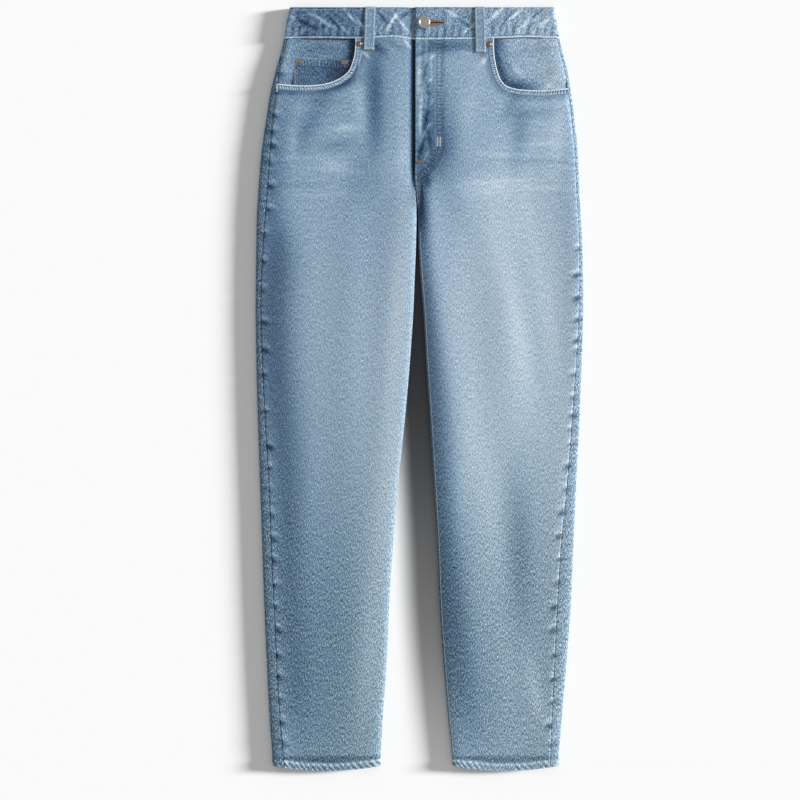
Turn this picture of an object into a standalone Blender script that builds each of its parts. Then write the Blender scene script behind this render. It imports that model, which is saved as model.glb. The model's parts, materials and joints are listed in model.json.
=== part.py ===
"""High-waisted tapered jeans, laid flat on their back, front up.

Metres. X runs to the wearer's left, Y to the waist, Z up from the surface they lie on.
Each cut piece of cloth is one open sheet, the middle of its wall, thickened by Solidify.
"""

import math

import bpy
import numpy as np

MM = 0.001
RIGHT = -1
LEFT = 1

# Cloth walls and the gaps between pieces
CLOTH = 1.4 * MM
SEAM_GAP = 0.3 * MM
LAYER_EASE = 0.34 * MM
COIN_CLOTH = 1.1 * MM
LOOP_CLOTH = 1.2 * MM
BAND_CLOTH = 2.4 * MM
ZIP_CLOTH = 1.0 * MM
HEM_CLOTH = 2.2 * MM

# Heights of the sheets' middles above the surface
UNDER_MID = CLOTH / 2
EDGE_MID = 4.4 * MM
CENTRE_MID = 5.7 * MM
HIP_MID = 7.6 * MM
EDGE_LOFT = 8.2 * MM
LOFT_REACH = 28 * MM
TOP_ROUNDING = 22 * MM
UNDER_ROUNDING = 10 * MM

# How the upper sheet changes up the body: from leg to hip, and flatter again under the band
HIP_BLEND = (235 * MM, 300 * MM)
BAND_BLEND = (400 * MM, 450 * MM)
FLY_SWELL = 0.6 * MM
FLY_SWELL_X = 12 * MM
FLY_SWELL_WIDTH = 30 * MM
SIDE_FLATTENING = 0.9 * MM

# The crotch, the rise and the hems
CROTCH_X = -3.2 * MM
CROTCH_Y = 233.5 * MM
FLY_EDGE_X = -5.5 * MM
FLY_FOOT_Y = 262 * MM
FLY_LAP = 9.5 * MM
FLY_LAP_BLEND = (272 * MM, 295 * MM)
HEM_END_Y = -489.5 * MM
HEM_BOW = -6.6 * MM
HEM_STITCH_Y = -483 * MM
BODY_TOP_Y = 384 * MM
FAN_START_Y = 290 * MM

# Waistband
BAND_TOP_Y = 496 * MM
BAND_FOOT_Y = 454.5 * MM
BAND_FRONT_MID = 7.2 * MM
BAND_BACK_MID = 2.7 * MM
BAND_OVER_MID = 8.1 * MM
BAND_UNDER_MID = 5.4 * MM
BAND_FOLD = 3.0 * MM
BAND_UNDERLAP_X = 33 * MM
BAND_LEVEL_X = 70 * MM
BAND_DIP_REACH = 24 * MM

# Button, buttonhole and rivets
BUTTON_X = 5.7 * MM
BUTTON_Y = 476.4 * MM
BUTTON_RADIUS = 8.3 * MM
SHANK_RADIUS = 2.6 * MM
BUTTONHOLE_END_X = 31 * MM
BUTTONHOLE_WIDTH = 2.0 * MM
RIVET_RADIUS = 3.9 * MM
RIVETS = {"rivet_right": (-77.9 * MM, 448.6 * MM), "rivet_left": (91.0 * MM, 447.8 * MM)}

# The closed zip's tape
ZIP_FOOT_Y = 300 * MM
ZIP_TOP_Y = 452 * MM
ZIP_INNER_X = -2 * MM
ZIP_WIDTH = 22 * MM

# Each leg by height: outer edge, how far in from it the side seam lies, inner edge or fly
LEG_COLUMNS = ("y", "outer", "seam_in", "inner")
RIGHT_LEG = (
    (-0.490, -0.1904, 0.0143, -0.0511),
    (-0.420, -0.1955, 0.0131, -0.0471),
    (-0.360, -0.1985, 0.0125, -0.0428),
    (-0.280, -0.2020, 0.0124, -0.0392),
    (-0.200, -0.2048, 0.0114, -0.0340),
    (-0.120, -0.2075, 0.0111, -0.0273),
    (-0.040, -0.2103, 0.0093, -0.0188),
    (0.040, -0.2124, 0.0075, -0.0119),
    (0.100, -0.2132, 0.0064, -0.0079),
    (0.150, -0.2129, 0.0073, -0.0058),
    (0.190, -0.2123, 0.0086, -0.0043),
    (0.2335, -0.2112, 0.0109, -0.0038),
    (0.262, -0.2093, 0.0115, -0.0055),
    (0.310, -0.2053, 0.0106, -0.0055),
    (0.350, -0.1995, 0.0078, -0.0055),
    (0.385, -0.1939, 0.0062, -0.0055),
    (0.410, -0.1880, 0.0050, -0.0055),
    (0.452, -0.1768, 0.0040, -0.0055),
    (0.474, -0.1732, 0.0040, -0.0055),
    (0.496, -0.1685, 0.0040, -0.0055),
)
LEFT_LEG = (
    (-0.490, 0.1802, 0.0105, 0.0434),
    (-0.420, 0.1857, 0.0134, 0.0364),
    (-0.360, 0.1909, 0.0157, 0.0314),
    (-0.280, 0.1969, 0.0179, 0.0260),
    (-0.200, 0.2004, 0.0163, 0.0229),
    (-0.120, 0.2040, 0.0121, 0.0184),
    (-0.040, 0.2082, 0.0102, 0.0135),
    (0.040, 0.2112, 0.0075, 0.0083),
    (0.100, 0.2129, 0.0060, 0.0050),
    (0.150, 0.2127, 0.0048, 0.0010),
    (0.190, 0.2116, 0.0042, -0.0013),
    (0.2335, 0.2093, 0.0040, -0.0026),
    (0.262, 0.2077, 0.0040, -0.0055),
    (0.310, 0.2056, 0.0040, -0.0055),
    (0.350, 0.2017, 0.0040, -0.0055),
    (0.385, 0.1972, 0.0040, -0.0055),
    (0.410, 0.1931, 0.0040, -0.0055),
    (0.452, 0.1830, 0.0040, -0.0055),
    (0.474, 0.1790, 0.0040, -0.0055),
    (0.496, 0.1755, 0.0040, -0.0055),
)
LEGS = {
    RIGHT: dict(zip(LEG_COLUMNS, np.array(RIGHT_LEG).T)),
    LEFT: dict(zip(LEG_COLUMNS, np.array(LEFT_LEG).T)),
}

# Columns of a front that end on the waist seam, and that end on its pocket mouth
SEAM_COLUMNS = 8
MOUTH_COLUMNS = 8

# The waist seam from side to side: x, y
WAIST_SEAM = (
    (-0.1770, 0.4552),
    (-0.1229, 0.4556),
    (-0.0735, 0.4553),
    (-0.0311, 0.4568),
    (-0.0055, 0.4540),
    (0.0250, 0.4538),
    (0.0974, 0.4553),
    (0.1405, 0.4568),
    (0.1830, 0.4552),
)

BACK_SEAM_Y = 455.2 * MM
BAND_FOOT_EASE = 0.2 * MM

# Pocket mouths from the waist seam to the side seam: x, y
MOUTHS = {
    RIGHT: (
        (-0.0833, 0.4550),
        (-0.0846, 0.4354),
        (-0.0875, 0.4241),
        (-0.0918, 0.4142),
        (-0.0988, 0.4072),
        (-0.1087, 0.4014),
        (-0.1200, 0.3975),
        (-0.1340, 0.3952),
        (-0.1678, 0.3952),
        (-0.1862, 0.3968),
    ),
    LEFT: (
        (0.0966, 0.4552),
        (0.0968, 0.4395),
        (0.0982, 0.4278),
        (0.1015, 0.4130),
        (0.1072, 0.3997),
        (0.1123, 0.3945),
        (0.1239, 0.3905),
        (0.1405, 0.3886),
        (0.1654, 0.3880),
        (0.1920, 0.3908),
    ),
}
FACING_UNDER = 12 * MM
FACING_FOOT_Y = 377 * MM
FACING_SIDE_EASE = 0.3 * MM

# Coin pocket: outer and inner edge, foot, and its top edge at each
COIN_OUTER_X = -163.7 * MM
COIN_INNER_X = -80.0 * MM
COIN_FOOT_Y = 386 * MM
COIN_TOP_OUTER_Y = 431.7 * MM
COIN_TOP_INNER_Y = 427.2 * MM

# Back yokes and pockets, and where the back stands off the surface over them and the loops
YOKE_CENTRE_Y = 388 * MM
YOKE_SIDE_Y = 420 * MM
YOKE_REACH = 190 * MM
LIFT_INBOARD = (16 * MM, 34 * MM)
POCKET_FOOT_BLEND = (170 * MM, 200 * MM)
POCKET_TOP_BLEND = (384 * MM, 405 * MM)
LOOP_FOOT_BLEND = (408 * MM, 432 * MM)
BACK_POCKET = (
    (30 * MM, 366 * MM),
    (158 * MM, 372 * MM),
    (150 * MM, 238 * MM),
    (92 * MM, 216 * MM),
    (35 * MM, 235 * MM),
)
POCKET_LIFT = CLOTH + SEAM_GAP
LOOP_LIFT = LOOP_CLOTH + SEAM_GAP

# Belt loops: centre x at the top and foot, top y, foot y
LOOP_WIDTH = 13.4 * MM
FRONT_LOOPS = {
    "loop_front_right": (-63.8 * MM, -65.8 * MM, 496.6 * MM, 440.8 * MM),
    "loop_front_left": (78.1 * MM, 79.6 * MM, 496.4 * MM, 437.8 * MM),
}
BACK_LOOPS = {"loop_back_right": -104 * MM, "loop_centre_back": 0.0, "loop_back_left": 106 * MM}
BACK_LOOP_FOOT_Y = 441 * MM

# Largest soft folds of the front: x, y, direction from X in degrees, length, width, height
FOLD_COLUMNS = ("x", "y", "angle", "length", "width", "height")
FOLDS = (
    (0.0085, 0.400, 90, 0.050, 0.0050, 0.0007),
    (0.0260, 0.395, 90, 0.060, 0.0055, -0.0005),
    (-0.030, 0.300, 62, 0.050, 0.0100, 0.0005),
    (0.050, 0.255, 115, 0.060, 0.0120, 0.0006),
    (-0.090, 0.140, 88, 0.130, 0.0160, 0.0006),
    (0.120, 0.060, 92, 0.150, 0.0180, 0.0007),
    (-0.150, -0.130, 84, 0.110, 0.0150, 0.0005),
    (0.060, -0.160, 84, 0.120, 0.0140, -0.0005),
    (-0.175, -0.440, 60, 0.030, 0.0090, 0.0006),
    (0.165, -0.440, 118, 0.030, 0.0090, 0.0006),
)

# Colours from the photograph, linear: washed blue denim, darker facings, metal
WASHED_DENIM = (0.27, 0.38, 0.50)
FACING_DENIM = (0.15, 0.24, 0.34)
BAND_DENIM = (0.17, 0.26, 0.36)
ZIP_TAPE_BLUE = (0.10, 0.14, 0.20)
BRUSHED_STEEL = (0.60, 0.58, 0.56)
AGED_BRASS = (0.45, 0.38, 0.28)


def clear_scene():
    for obj in list(bpy.data.objects):
        bpy.data.objects.remove(obj, do_unlink=True)


def new_collection(name):
    collection = bpy.data.collections.new(name)
    bpy.context.scene.collection.children.link(collection)
    return collection


def new_material(name, colour, roughness, metallic=0.0):
    material = bpy.data.materials.new(name)
    material.use_nodes = True
    shader = material.node_tree.nodes["Principled BSDF"]
    shader.inputs["Base Color"].default_value = (*colour, 1.0)
    shader.inputs["Roughness"].default_value = roughness
    shader.inputs["Metallic"].default_value = metallic
    return material


def smooth_curve(at, known, values):
    """Values at the places 'at', on a smooth curve through the known ones."""
    known = np.asarray(known, float)
    values = np.asarray(values, float)
    slopes = np.gradient(values, known)
    at = np.clip(at, known[0], known[-1])
    i = np.clip(np.searchsorted(known, at) - 1, 0, len(known) - 2)
    span = known[i + 1] - known[i]
    t = (at - known[i]) / span
    start = (1 + 2 * t) * (1 - t) ** 2 * values[i] + t * (1 - t) ** 2 * span * slopes[i]
    end = t * t * (3 - 2 * t) * values[i + 1] - t * t * (1 - t) * span * slopes[i + 1]
    return start + end


def smooth_step(value, low, high):
    t = np.clip((value - low) / (high - low), 0.0, 1.0)
    return t * t * (3 - 2 * t)


def leg_edge(side, column, y):
    return smooth_curve(y, LEGS[side]["y"], LEGS[side][column])


def waist_seam_y(x):
    xs, ys = zip(*WAIST_SEAM)
    return smooth_curve(x, xs, ys)


def rise(distance, rounding):
    """0 on a folded edge, standing straight up there, to 1 where the rounding ends."""
    t = np.clip(distance / rounding, 0.0, 1.0)
    return np.sqrt(1 - (1 - t) ** 3)


def edge_distances(side, x, y):
    """How far points of a sheet's middle lie from the outer fold and from the inner fold or crotch."""
    half = CLOTH / 2
    outer = np.maximum(side * (leg_edge(side, "outer", y) - x) - half, 0)
    beside = np.maximum(side * (x - leg_edge(side, "inner", y)) - half, 0)
    above = np.hypot(x - CROTCH_X, y - CROTCH_Y)
    return outer, np.where(y <= CROTCH_Y, beside, above)


def fold_relief(x, y):
    relief = np.zeros_like(x)
    for row in FOLDS:
        fold = dict(zip(FOLD_COLUMNS, row))
        turn = math.radians(fold["angle"])
        along = (x - fold["x"]) * math.cos(turn) + (y - fold["y"]) * math.sin(turn)
        across = (y - fold["y"]) * math.cos(turn) - (x - fold["x"]) * math.sin(turn)
        shape = (along / fold["length"]) ** 2 + (across / fold["width"]) ** 2
        relief += fold["height"] * np.exp(-shape)
    return relief


def top_height(side, x, y):
    """Height of the upper sheet's middle."""
    outer, inner = edge_distances(side, x, y)
    nearest = np.minimum(outer, inner)
    flat = CENTRE_MID + (HIP_MID - CENTRE_MID) * smooth_step(y, *HIP_BLEND)
    swell = np.exp(-(((x - FLY_SWELL_X) / FLY_SWELL_WIDTH) ** 2))
    flat += FLY_SWELL * swell * smooth_step(y, *BAND_BLEND)
    crest = flat + (EDGE_LOFT - flat) * np.exp(-((nearest / LOFT_REACH) ** 2))
    crest -= SIDE_FLATTENING * smooth_step(y, *BAND_BLEND) * np.exp(-((outer / LOFT_REACH) ** 2))
    rounded = rise(outer, TOP_ROUNDING) * rise(inner, TOP_ROUNDING)
    return EDGE_MID + (crest - EDGE_MID) * rounded + fold_relief(x, y) * rounded


def under_lift(side, x, y):
    """How far the back stands off the surface over its own pockets and belt loops."""
    outer, _ = edge_distances(side, x, y)
    inboard = smooth_step(outer, *LIFT_INBOARD)
    over_pockets = POCKET_LIFT * smooth_step(y, *POCKET_FOOT_BLEND) * (1 - smooth_step(y, *POCKET_TOP_BLEND))
    over_loops = LOOP_LIFT * smooth_step(y, *LOOP_FOOT_BLEND)
    return inboard * (over_pockets + over_loops)


def under_height(side, x, y):
    """Height of the lower sheet's middle."""
    outer, inner = edge_distances(side, x, y)
    rounded = rise(outer, UNDER_ROUNDING) * rise(inner, UNDER_ROUNDING)
    return EDGE_MID - (EDGE_MID - UNDER_MID) * rounded + under_lift(side, x, y)


def sheet_points(height, side, x, y, offset=0.0):
    """Points of a sheet at (x, y), moved out along its normal by the offset."""
    step = 0.2 * MM
    z = height(side, x, y)
    slope_x = (height(side, x + step, y) - height(side, x - step, y)) / (2 * step)
    slope_y = (height(side, x, y + step) - height(side, x, y - step)) / (2 * step)
    length = np.sqrt(1 + slope_x**2 + slope_y**2)
    return np.stack(
        [x - offset * slope_x / length, y - offset * slope_y / length, z + offset / length],
        axis=-1,
    )


def hem_weight(y):
    return 1 - smooth_step(y, HEM_STITCH_Y + 1 * MM, HEM_STITCH_Y + 3 * MM)


def hem_bow(side, x, y):
    """The hem's lower edge bows towards the toes between its two corners."""
    inner = leg_edge(side, "inner", y)
    outer = leg_edge(side, "outer", y)
    across = np.clip((x - inner) / (outer - inner), 0, 1)
    fade = 1 - smooth_step(y, HEM_END_Y, HEM_STITCH_Y + 8 * MM)
    return HEM_BOW * fade * (1 - (2 * across - 1) ** 2)


def spread(start, stop, count):
    """Evenly spaced values strictly between two arrays of ends."""
    steps = np.arange(1, count + 1) / (count + 1)
    return start[:, None] + (stop - start)[:, None] * steps


def add_sheet(name, points, thickness, material, thin=None):
    """A grid of points as an open surface, thickened to both sides. 'thin' is 1 where it is thinnest."""
    rows, columns = points.shape[:2]
    bpy.ops.mesh.primitive_grid_add(x_subdivisions=columns - 1, y_subdivisions=rows - 1, size=1)
    obj = bpy.context.object
    obj.name = name
    obj.data.name = name
    obj.data.vertices.foreach_set("co", points.reshape(-1).astype(np.float32))
    obj.data.materials.append(material)
    obj.data.shade_smooth()
    wall = obj.modifiers.new("wall", "SOLIDIFY")
    wall.thickness = thickness
    wall.offset = 0.0
    wall.use_even_offset = True
    wall.use_quality_normals = True
    if thin is not None:
        group = obj.vertex_groups.new(name="thick")
        for index, weight in enumerate(1 - thin.reshape(-1)):
            group.add([index], float(weight), "REPLACE")
        wall.vertex_group = "thick"
        wall.thickness_vertex_group = CLOTH / thickness
    for collection in list(obj.users_collection):
        collection.objects.unlink(obj)
    GARMENT.objects.link(obj)
    return obj


def leg_rows():
    """Heights of the rows from the hem to the seat, closer together at the hem and the crotch."""
    hem = [HEM_END_Y, HEM_STITCH_Y + 1 * MM, HEM_STITCH_Y + 3 * MM]
    leg = list(np.linspace(-0.450, 0.190, 17))
    crotch = [CROTCH_Y - 14 * MM, CROTCH_Y, CROTCH_Y + 4 * MM, CROTCH_Y + 10 * MM, CROTCH_Y + 20 * MM]
    hip = [0.272, 0.295, 0.322, 0.352, BODY_TOP_Y]
    return np.array(hem + leg + crotch + hip)


def inner_limit(side, y, front):
    """Where a panel's middle ends inward: at the inner fold, or beside the centre seam above it."""
    edge = leg_edge(side, "inner", y)
    folded = edge + side * CLOTH / 2
    seamed = edge + side * SEAM_GAP / 2
    if not front:
        seamed = CROTCH_X + 0 * y + side * SEAM_GAP / 2
    elif side == RIGHT:
        seamed = seamed + (FLY_LAP + SEAM_GAP / 2) * smooth_step(y, *FLY_LAP_BLEND)
    return np.where(y <= CROTCH_Y, folded, seamed)


def crotch_ease(y):
    """Front and back part a little wider just at the crotch point, where their walls turn sharply."""
    return SEAM_GAP / 2 + 0.35 * MM * np.exp(-(((y - CROTCH_Y) / (6 * MM)) ** 2))


def front_columns(side, y):
    """Distances outward from the inner limit for each row: close at the fold and at the side seam."""
    folded = np.array([0, 0.17, 1.0, 3.2, 8.0, 15.0, 24.0]) * MM
    seamed = np.array([0, 1.5, 4.0, 8.0, 13.0, 18.0, 24.0]) * MM
    near = np.where((y <= CROTCH_Y)[:, None], folded, seamed)
    seam = leg_edge(side, "outer", y) - side * (leg_edge(side, "seam_in", y) + SEAM_GAP / 2)
    width = side * (seam - inner_limit(side, y, True))
    far = width[:, None] - np.array([15.0, 8.0, 3.0, 0.0]) * MM
    return np.hstack([near, spread(near[:, -1], far[:, 0], 5), far])


def fly_dip(x, y):
    """The wearer's right front passes under the left one at the fly."""
    near = smooth_step(x, FLY_EDGE_X - 13 * MM, FLY_EDGE_X - 2 * MM)
    return -(CLOTH + SEAM_GAP + LAYER_EASE) * near * smooth_step(y, FLY_FOOT_Y - 8 * MM, FLY_FOOT_Y + 10 * MM)


def mouth_curve(side, places):
    """Points on a pocket mouth at these fractions of its length from the waist seam."""
    points = np.array(MOUTHS[side])
    steps = np.hypot(*np.diff(points, axis=0).T)
    reach = np.concatenate([[0], np.cumsum(steps)])
    at = np.asarray(places) * reach[-1]
    return smooth_curve(at, reach, points[:, 0]), smooth_curve(at, reach, points[:, 1])


def front_top_edge(side):
    """A front's upper edge: along the waist seam, then down round the pocket mouth to the side seam."""
    mouth_x = MOUTHS[side][0][0]
    start_x = inner_limit(side, np.array([BAND_TOP_Y]), True)[0]
    seam_x = np.linspace(start_x, mouth_x, SEAM_COLUMNS)
    seam_y = waist_seam_y(seam_x) - SEAM_GAP / 2
    curve_x, curve_y = mouth_curve(side, np.linspace(0, 1, MOUTH_COLUMNS + 1)[1:])
    end_y = curve_y[-1]
    curve_x[-1] = leg_edge(side, "outer", end_y) - side * (leg_edge(side, "seam_in", end_y) + SEAM_GAP / 2)
    return np.concatenate([seam_x, curve_x]), np.concatenate([seam_y, curve_y])


def front_panel(name, side, material):
    y_rows = leg_rows()
    start = inner_limit(side, y_rows, True)[:, None]
    away = front_columns(side, y_rows)
    # Towards the top the columns draw together under the pocket mouth, where they end on it.
    top_x, top_y = front_top_edge(side)
    share = (top_x - top_x[0]) / (top_x[-1] - top_x[0])
    gather = smooth_step(y_rows, FAN_START_Y, BODY_TOP_Y)[:, None]
    away = away * (1 - gather) + share * away[:, -1:] * gather
    x = start + side * away
    y = np.repeat(y_rows[:, None], x.shape[1], axis=1)
    y = y + hem_bow(side, x, y)
    for step in (0.2, 0.4, 0.6, 0.8, 1.0):
        x = np.vstack([x, x[len(y_rows) - 1] * (1 - step) + top_x * step])
        y = np.vstack([y, BODY_TOP_Y * (1 - step) + top_y * step])
    offset = fly_dip(x, y) if side == RIGHT else 0.0
    points = sheet_points(top_height, side, x, y, offset)
    points = stand_inner_edge(points, y_rows, 0, 1)
    hem = hem_weight(points[..., 1] - hem_bow(side, x, y))
    points[..., 2] += (HEM_CLOTH - CLOTH) / 2 * hem
    return add_sheet(name, points, HEM_CLOTH, material, thin=1 - hem)


def stand_inner_edge(points, y_rows, edge, beside):
    """Below the crotch a panel's inner edge stands straight for a moment, so its seam gap stays even."""
    rows = np.flatnonzero(y_rows <= CROTCH_Y)
    up = 1 if points[0, beside + (beside - edge), 2] > EDGE_MID else -1
    points[rows, edge, 0] = points[rows, beside, 0]
    clear = crotch_ease(y_rows[rows])
    points[rows, edge, 2] = EDGE_MID + up * clear
    natural = np.abs(points[rows, beside, 2] - EDGE_MID)
    points[rows, beside, 2] = EDGE_MID + up * np.maximum(natural, clear + 0.3 * MM)
    return points


def wrap_section(side, y_rows):
    """A back section at each row: from the side seam on top, round the outer fold, to the inner edge.

    Gives x, and whether each column is on the upper sheet.
    """
    outer = leg_edge(side, "outer", y_rows) - side * CLOTH / 2
    seam_in = leg_edge(side, "seam_in", y_rows) - (SEAM_GAP + CLOTH) / 2
    over = seam_in[:, None] * np.array([1, 0.62, 0.32, 0.12, 0.02, 0])
    under = np.array([0.1, 0.7, 2.4, 5.5, 10.0]) * MM + np.zeros((len(y_rows), 1))
    width = side * (outer - inner_limit(side, y_rows, False))
    close = np.array([10.0, 5.5, 2.4, 0.7, 0.17, 0.0]) * MM
    wide = np.array([14.0, 10.0, 6.5, 3.5, 1.5, 0.0]) * MM
    near = width[:, None] - np.where((y_rows <= CROTCH_Y)[:, None], close, wide)
    away = np.hstack([over, under, spread(under[:, -1], near[:, 0], 7), near])
    return outer[:, None] - side * away, np.arange(away.shape[1]) < over.shape[1]


def wrapped_points(side, x, y, on_top):
    upper = sheet_points(top_height, side, x, y)
    lower = sheet_points(under_height, side, x, y)
    return np.where(on_top[None, :, None], upper, lower)


def yoke_line_y(side):
    """The yoke seam's height at each column of the back: lowest at the centre."""
    x = wrap_section(side, np.array([BODY_TOP_Y]))[0][0]
    across = np.clip(side * (x - CROTCH_X) / YOKE_REACH, 0, 1)
    return YOKE_CENTRE_Y + (YOKE_SIDE_Y - YOKE_CENTRE_Y) * across


def back_panel(name, side, material):
    y_rows = leg_rows()
    x, on_top = wrap_section(side, y_rows)
    y = np.repeat(y_rows[:, None], x.shape[1], axis=1)
    y = y + hem_bow(side, x, y)
    top_y = yoke_line_y(side) - SEAM_GAP / 2
    for step in (0.33, 0.67, 1.0):
        level = BODY_TOP_Y * (1 - step) + top_y * step
        row_x = np.diag(wrap_section(side, level)[0])
        x = np.vstack([x, row_x])
        y = np.vstack([y, level])
    points = wrapped_points(side, x, y, on_top)
    points = stand_inner_edge(points, y_rows, -1, -2)
    hem = hem_weight(y - hem_bow(side, x, y))
    points[..., 2] += (HEM_CLOTH - CLOTH) / 2 * hem
    return add_sheet(name, points, HEM_CLOTH, material, thin=1 - hem)


def yoke(name, side, material):
    foot_y = yoke_line_y(side) + SEAM_GAP / 2
    rows = []
    for step in (0.0, 0.25, 0.5, 0.75, 1.0):
        level = foot_y * (1 - step) + (BACK_SEAM_Y - SEAM_GAP / 2) * step
        row_x, on_top = wrap_section(side, level)
        rows.append((np.diag(row_x), level))
    x = np.array([row[0] for row in rows])
    y = np.array([row[1] for row in rows])
    return add_sheet(name, wrapped_points(side, x, y, on_top), CLOTH, material)


def facing_depth(side):
    """How far the facing's middle lies below the front's."""
    under_front = CLOTH + SEAM_GAP + LAYER_EASE
    return under_front + COIN_CLOTH + SEAM_GAP if side == RIGHT else under_front


def facing_offset(side, x, y):
    """Down under the mouth, and up again to meet the yoke at the side seam."""
    seam = leg_edge(side, "outer", y) - side * leg_edge(side, "seam_in", y)
    beside = 1 - smooth_step(side * (seam - x), 1 * MM, 12 * MM)
    mouth_end = MOUTHS[side][-1][1]
    above = smooth_step(y, mouth_end + 12 * MM, mouth_end + 22 * MM)
    return -facing_depth(side) * (1 - beside * above)


def facing(name, side, material):
    rows = np.linspace(0, 1, 8)
    columns = np.array([0, 0.2, 0.4, 0.6, 0.76, 0.88, 0.95, 1.0])
    inner_x = MOUTHS[side][0][0] - side * FACING_UNDER
    guess_y = FACING_FOOT_Y + rows[:, None] * (BAND_FOOT_Y - FACING_FOOT_Y) + 0 * columns
    seam = leg_edge(side, "outer", guess_y) - side * (leg_edge(side, "seam_in", guess_y) + FACING_SIDE_EASE)
    x = inner_x + columns * (seam - inner_x)
    top = waist_seam_y(x) - SEAM_GAP / 2
    y = FACING_FOOT_Y + rows[:, None] * (top - FACING_FOOT_Y)
    points = sheet_points(top_height, side, x, y, facing_offset(side, x, y))
    return add_sheet(name, points, CLOTH, material)


def coin_pocket(material):
    columns = np.linspace(0, 1, 6)
    rows = np.linspace(0, 1, 5)[:, None]
    x = COIN_INNER_X + columns * (COIN_OUTER_X - COIN_INNER_X) + 0 * rows
    top = COIN_TOP_INNER_Y + columns * (COIN_TOP_OUTER_Y - COIN_TOP_INNER_Y)
    y = COIN_FOOT_Y + rows * (top - COIN_FOOT_Y)
    offset = -(CLOTH / 2 + SEAM_GAP + LAYER_EASE / 2 + COIN_CLOTH / 2)
    points = sheet_points(top_height, RIGHT, x, y, offset)
    return add_sheet("coin_pocket", points, COIN_CLOTH, material)


def back_pocket(name, side, material):
    """A plain five-sided patch that lies flat under the back."""
    inner_top, outer_top, outer_foot, point, inner_foot = BACK_POCKET
    columns = np.array([0, 0.5, 1.0])
    rows = np.linspace(0, 1, 4)[:, None]
    top_x = np.interp(columns, [0, 1], [inner_top[0], outer_top[0]])
    top_y = np.interp(columns, [0, 1], [inner_top[1], outer_top[1]])
    foot_x = np.interp(columns, [0, 0.5, 1], [inner_foot[0], point[0], outer_foot[0]])
    foot_y = np.interp(columns, [0, 0.5, 1], [inner_foot[1], point[1], outer_foot[1]])
    x = side * (foot_x + rows * (top_x - foot_x))
    y = foot_y + rows * (top_y - foot_y)
    points = np.stack([x, y, np.full_like(x, CLOTH / 2)], axis=-1)
    return add_sheet(name, points, CLOTH, material)


def band_top_height(x, under_end):
    """Middle of the band's front: it rises over its own lapped end, which dips beneath."""
    if under_end:
        dip = smooth_step(x, FLY_EDGE_X - 22 * MM, FLY_EDGE_X - 3 * MM)
        return BAND_FRONT_MID + (BAND_UNDER_MID - BAND_FRONT_MID) * dip
    lap = 1 - smooth_step(x, BAND_UNDERLAP_X + 2 * MM, BAND_UNDERLAP_X + 34 * MM)
    return BAND_FRONT_MID + (BAND_OVER_MID - BAND_FRONT_MID) * lap


def band_row(share):
    """One row of the band, from the lapped-over end round the body to the end beneath it."""
    nominal_y = BAND_FOOT_Y + share * (BAND_TOP_Y - BAND_FOOT_Y)
    half = BAND_CLOTH / 2
    ends = {side: leg_edge(side, "outer", np.array(nominal_y)) - side * half for side in LEGS}
    turn = np.radians([68, 45, 22, 0, -22, -45, -68, -90])
    flat_left = ends[LEFT] - BAND_FOLD
    flat_right = ends[RIGHT] + BAND_FOLD
    dip_x = FLY_EDGE_X - BAND_DIP_REACH
    level_x = np.linspace(BAND_LEVEL_X, flat_left, 7)[1:]
    over_x = np.concatenate([np.linspace(FLY_EDGE_X, BAND_LEVEL_X, 9), level_x])
    under_x = np.concatenate([np.linspace(flat_right, dip_x, 8), np.linspace(dip_x, BAND_UNDERLAP_X, 8)[1:]])
    back_low = CLOTH / 2 + half
    middle = (BAND_FRONT_MID + back_low) / 2
    swing = (BAND_FRONT_MID - back_low) / 2
    fold_left_x = flat_left + BAND_FOLD * np.cos(turn)
    fold_right_x = flat_right - BAND_FOLD * np.cos(turn[::-1])
    back_x = np.linspace(flat_left, flat_right, 16)[1:-1]
    inboard = smooth_step(np.minimum(flat_left - back_x, back_x - flat_right), 6 * MM, 30 * MM)
    back_z = back_low + (BAND_BACK_MID - back_low) * inboard
    x = np.concatenate([over_x, fold_left_x, back_x, fold_right_x, under_x])
    z = np.concatenate(
        [
            band_top_height(over_x, False),
            middle + swing * np.sin(turn),
            back_z,
            middle + swing * np.sin(turn[::-1]),
            band_top_height(under_x, True),
        ]
    )
    on_front = np.zeros(len(x), bool)
    on_front[: len(over_x)] = True
    on_front[-len(under_x) :] = True
    foot_y = np.where(on_front, waist_seam_y(x), BACK_SEAM_Y) + SEAM_GAP / 2 + BAND_FOOT_EASE
    y = foot_y + share * (BAND_TOP_Y - foot_y)
    return np.stack([x, y, z], axis=-1)


def add_cutter(obj, name):
    obj.name = name
    obj.hide_render = True
    obj.display_type = "WIRE"
    for collection in list(obj.users_collection):
        collection.objects.unlink(obj)
    CUTTERS.objects.link(obj)
    return obj


def cut(obj, cutter):
    hole = obj.modifiers.new(cutter.name, "BOOLEAN")
    hole.operation = "DIFFERENCE"
    hole.object = cutter


def waistband(material):
    points = np.array([band_row(share) for share in (0.0, 0.25, 0.5, 0.75, 1.0)])
    band = add_sheet("waistband", points, BAND_CLOTH, material)
    foot = BAND_OVER_MID - BAND_CLOTH / 2 - SEAM_GAP / 2
    height = 6 * MM
    bpy.ops.mesh.primitive_cylinder_add(
        radius=SHANK_RADIUS + 0.5 * MM,
        depth=height,
        vertices=20,
        location=(BUTTON_X, BUTTON_Y, foot + height / 2),
    )
    cut(band, add_cutter(bpy.context.object, "shank_hole"))
    bpy.ops.mesh.primitive_cube_add(
        size=1,
        location=((BUTTON_X + BUTTONHOLE_END_X) / 2, BUTTON_Y, foot + height / 2),
        scale=(BUTTONHOLE_END_X - BUTTON_X, BUTTONHOLE_WIDTH, height),
    )
    bpy.ops.object.transform_apply(location=False, rotation=False, scale=True)
    cut(band, add_cutter(bpy.context.object, "buttonhole_slot"))
    return band


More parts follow.
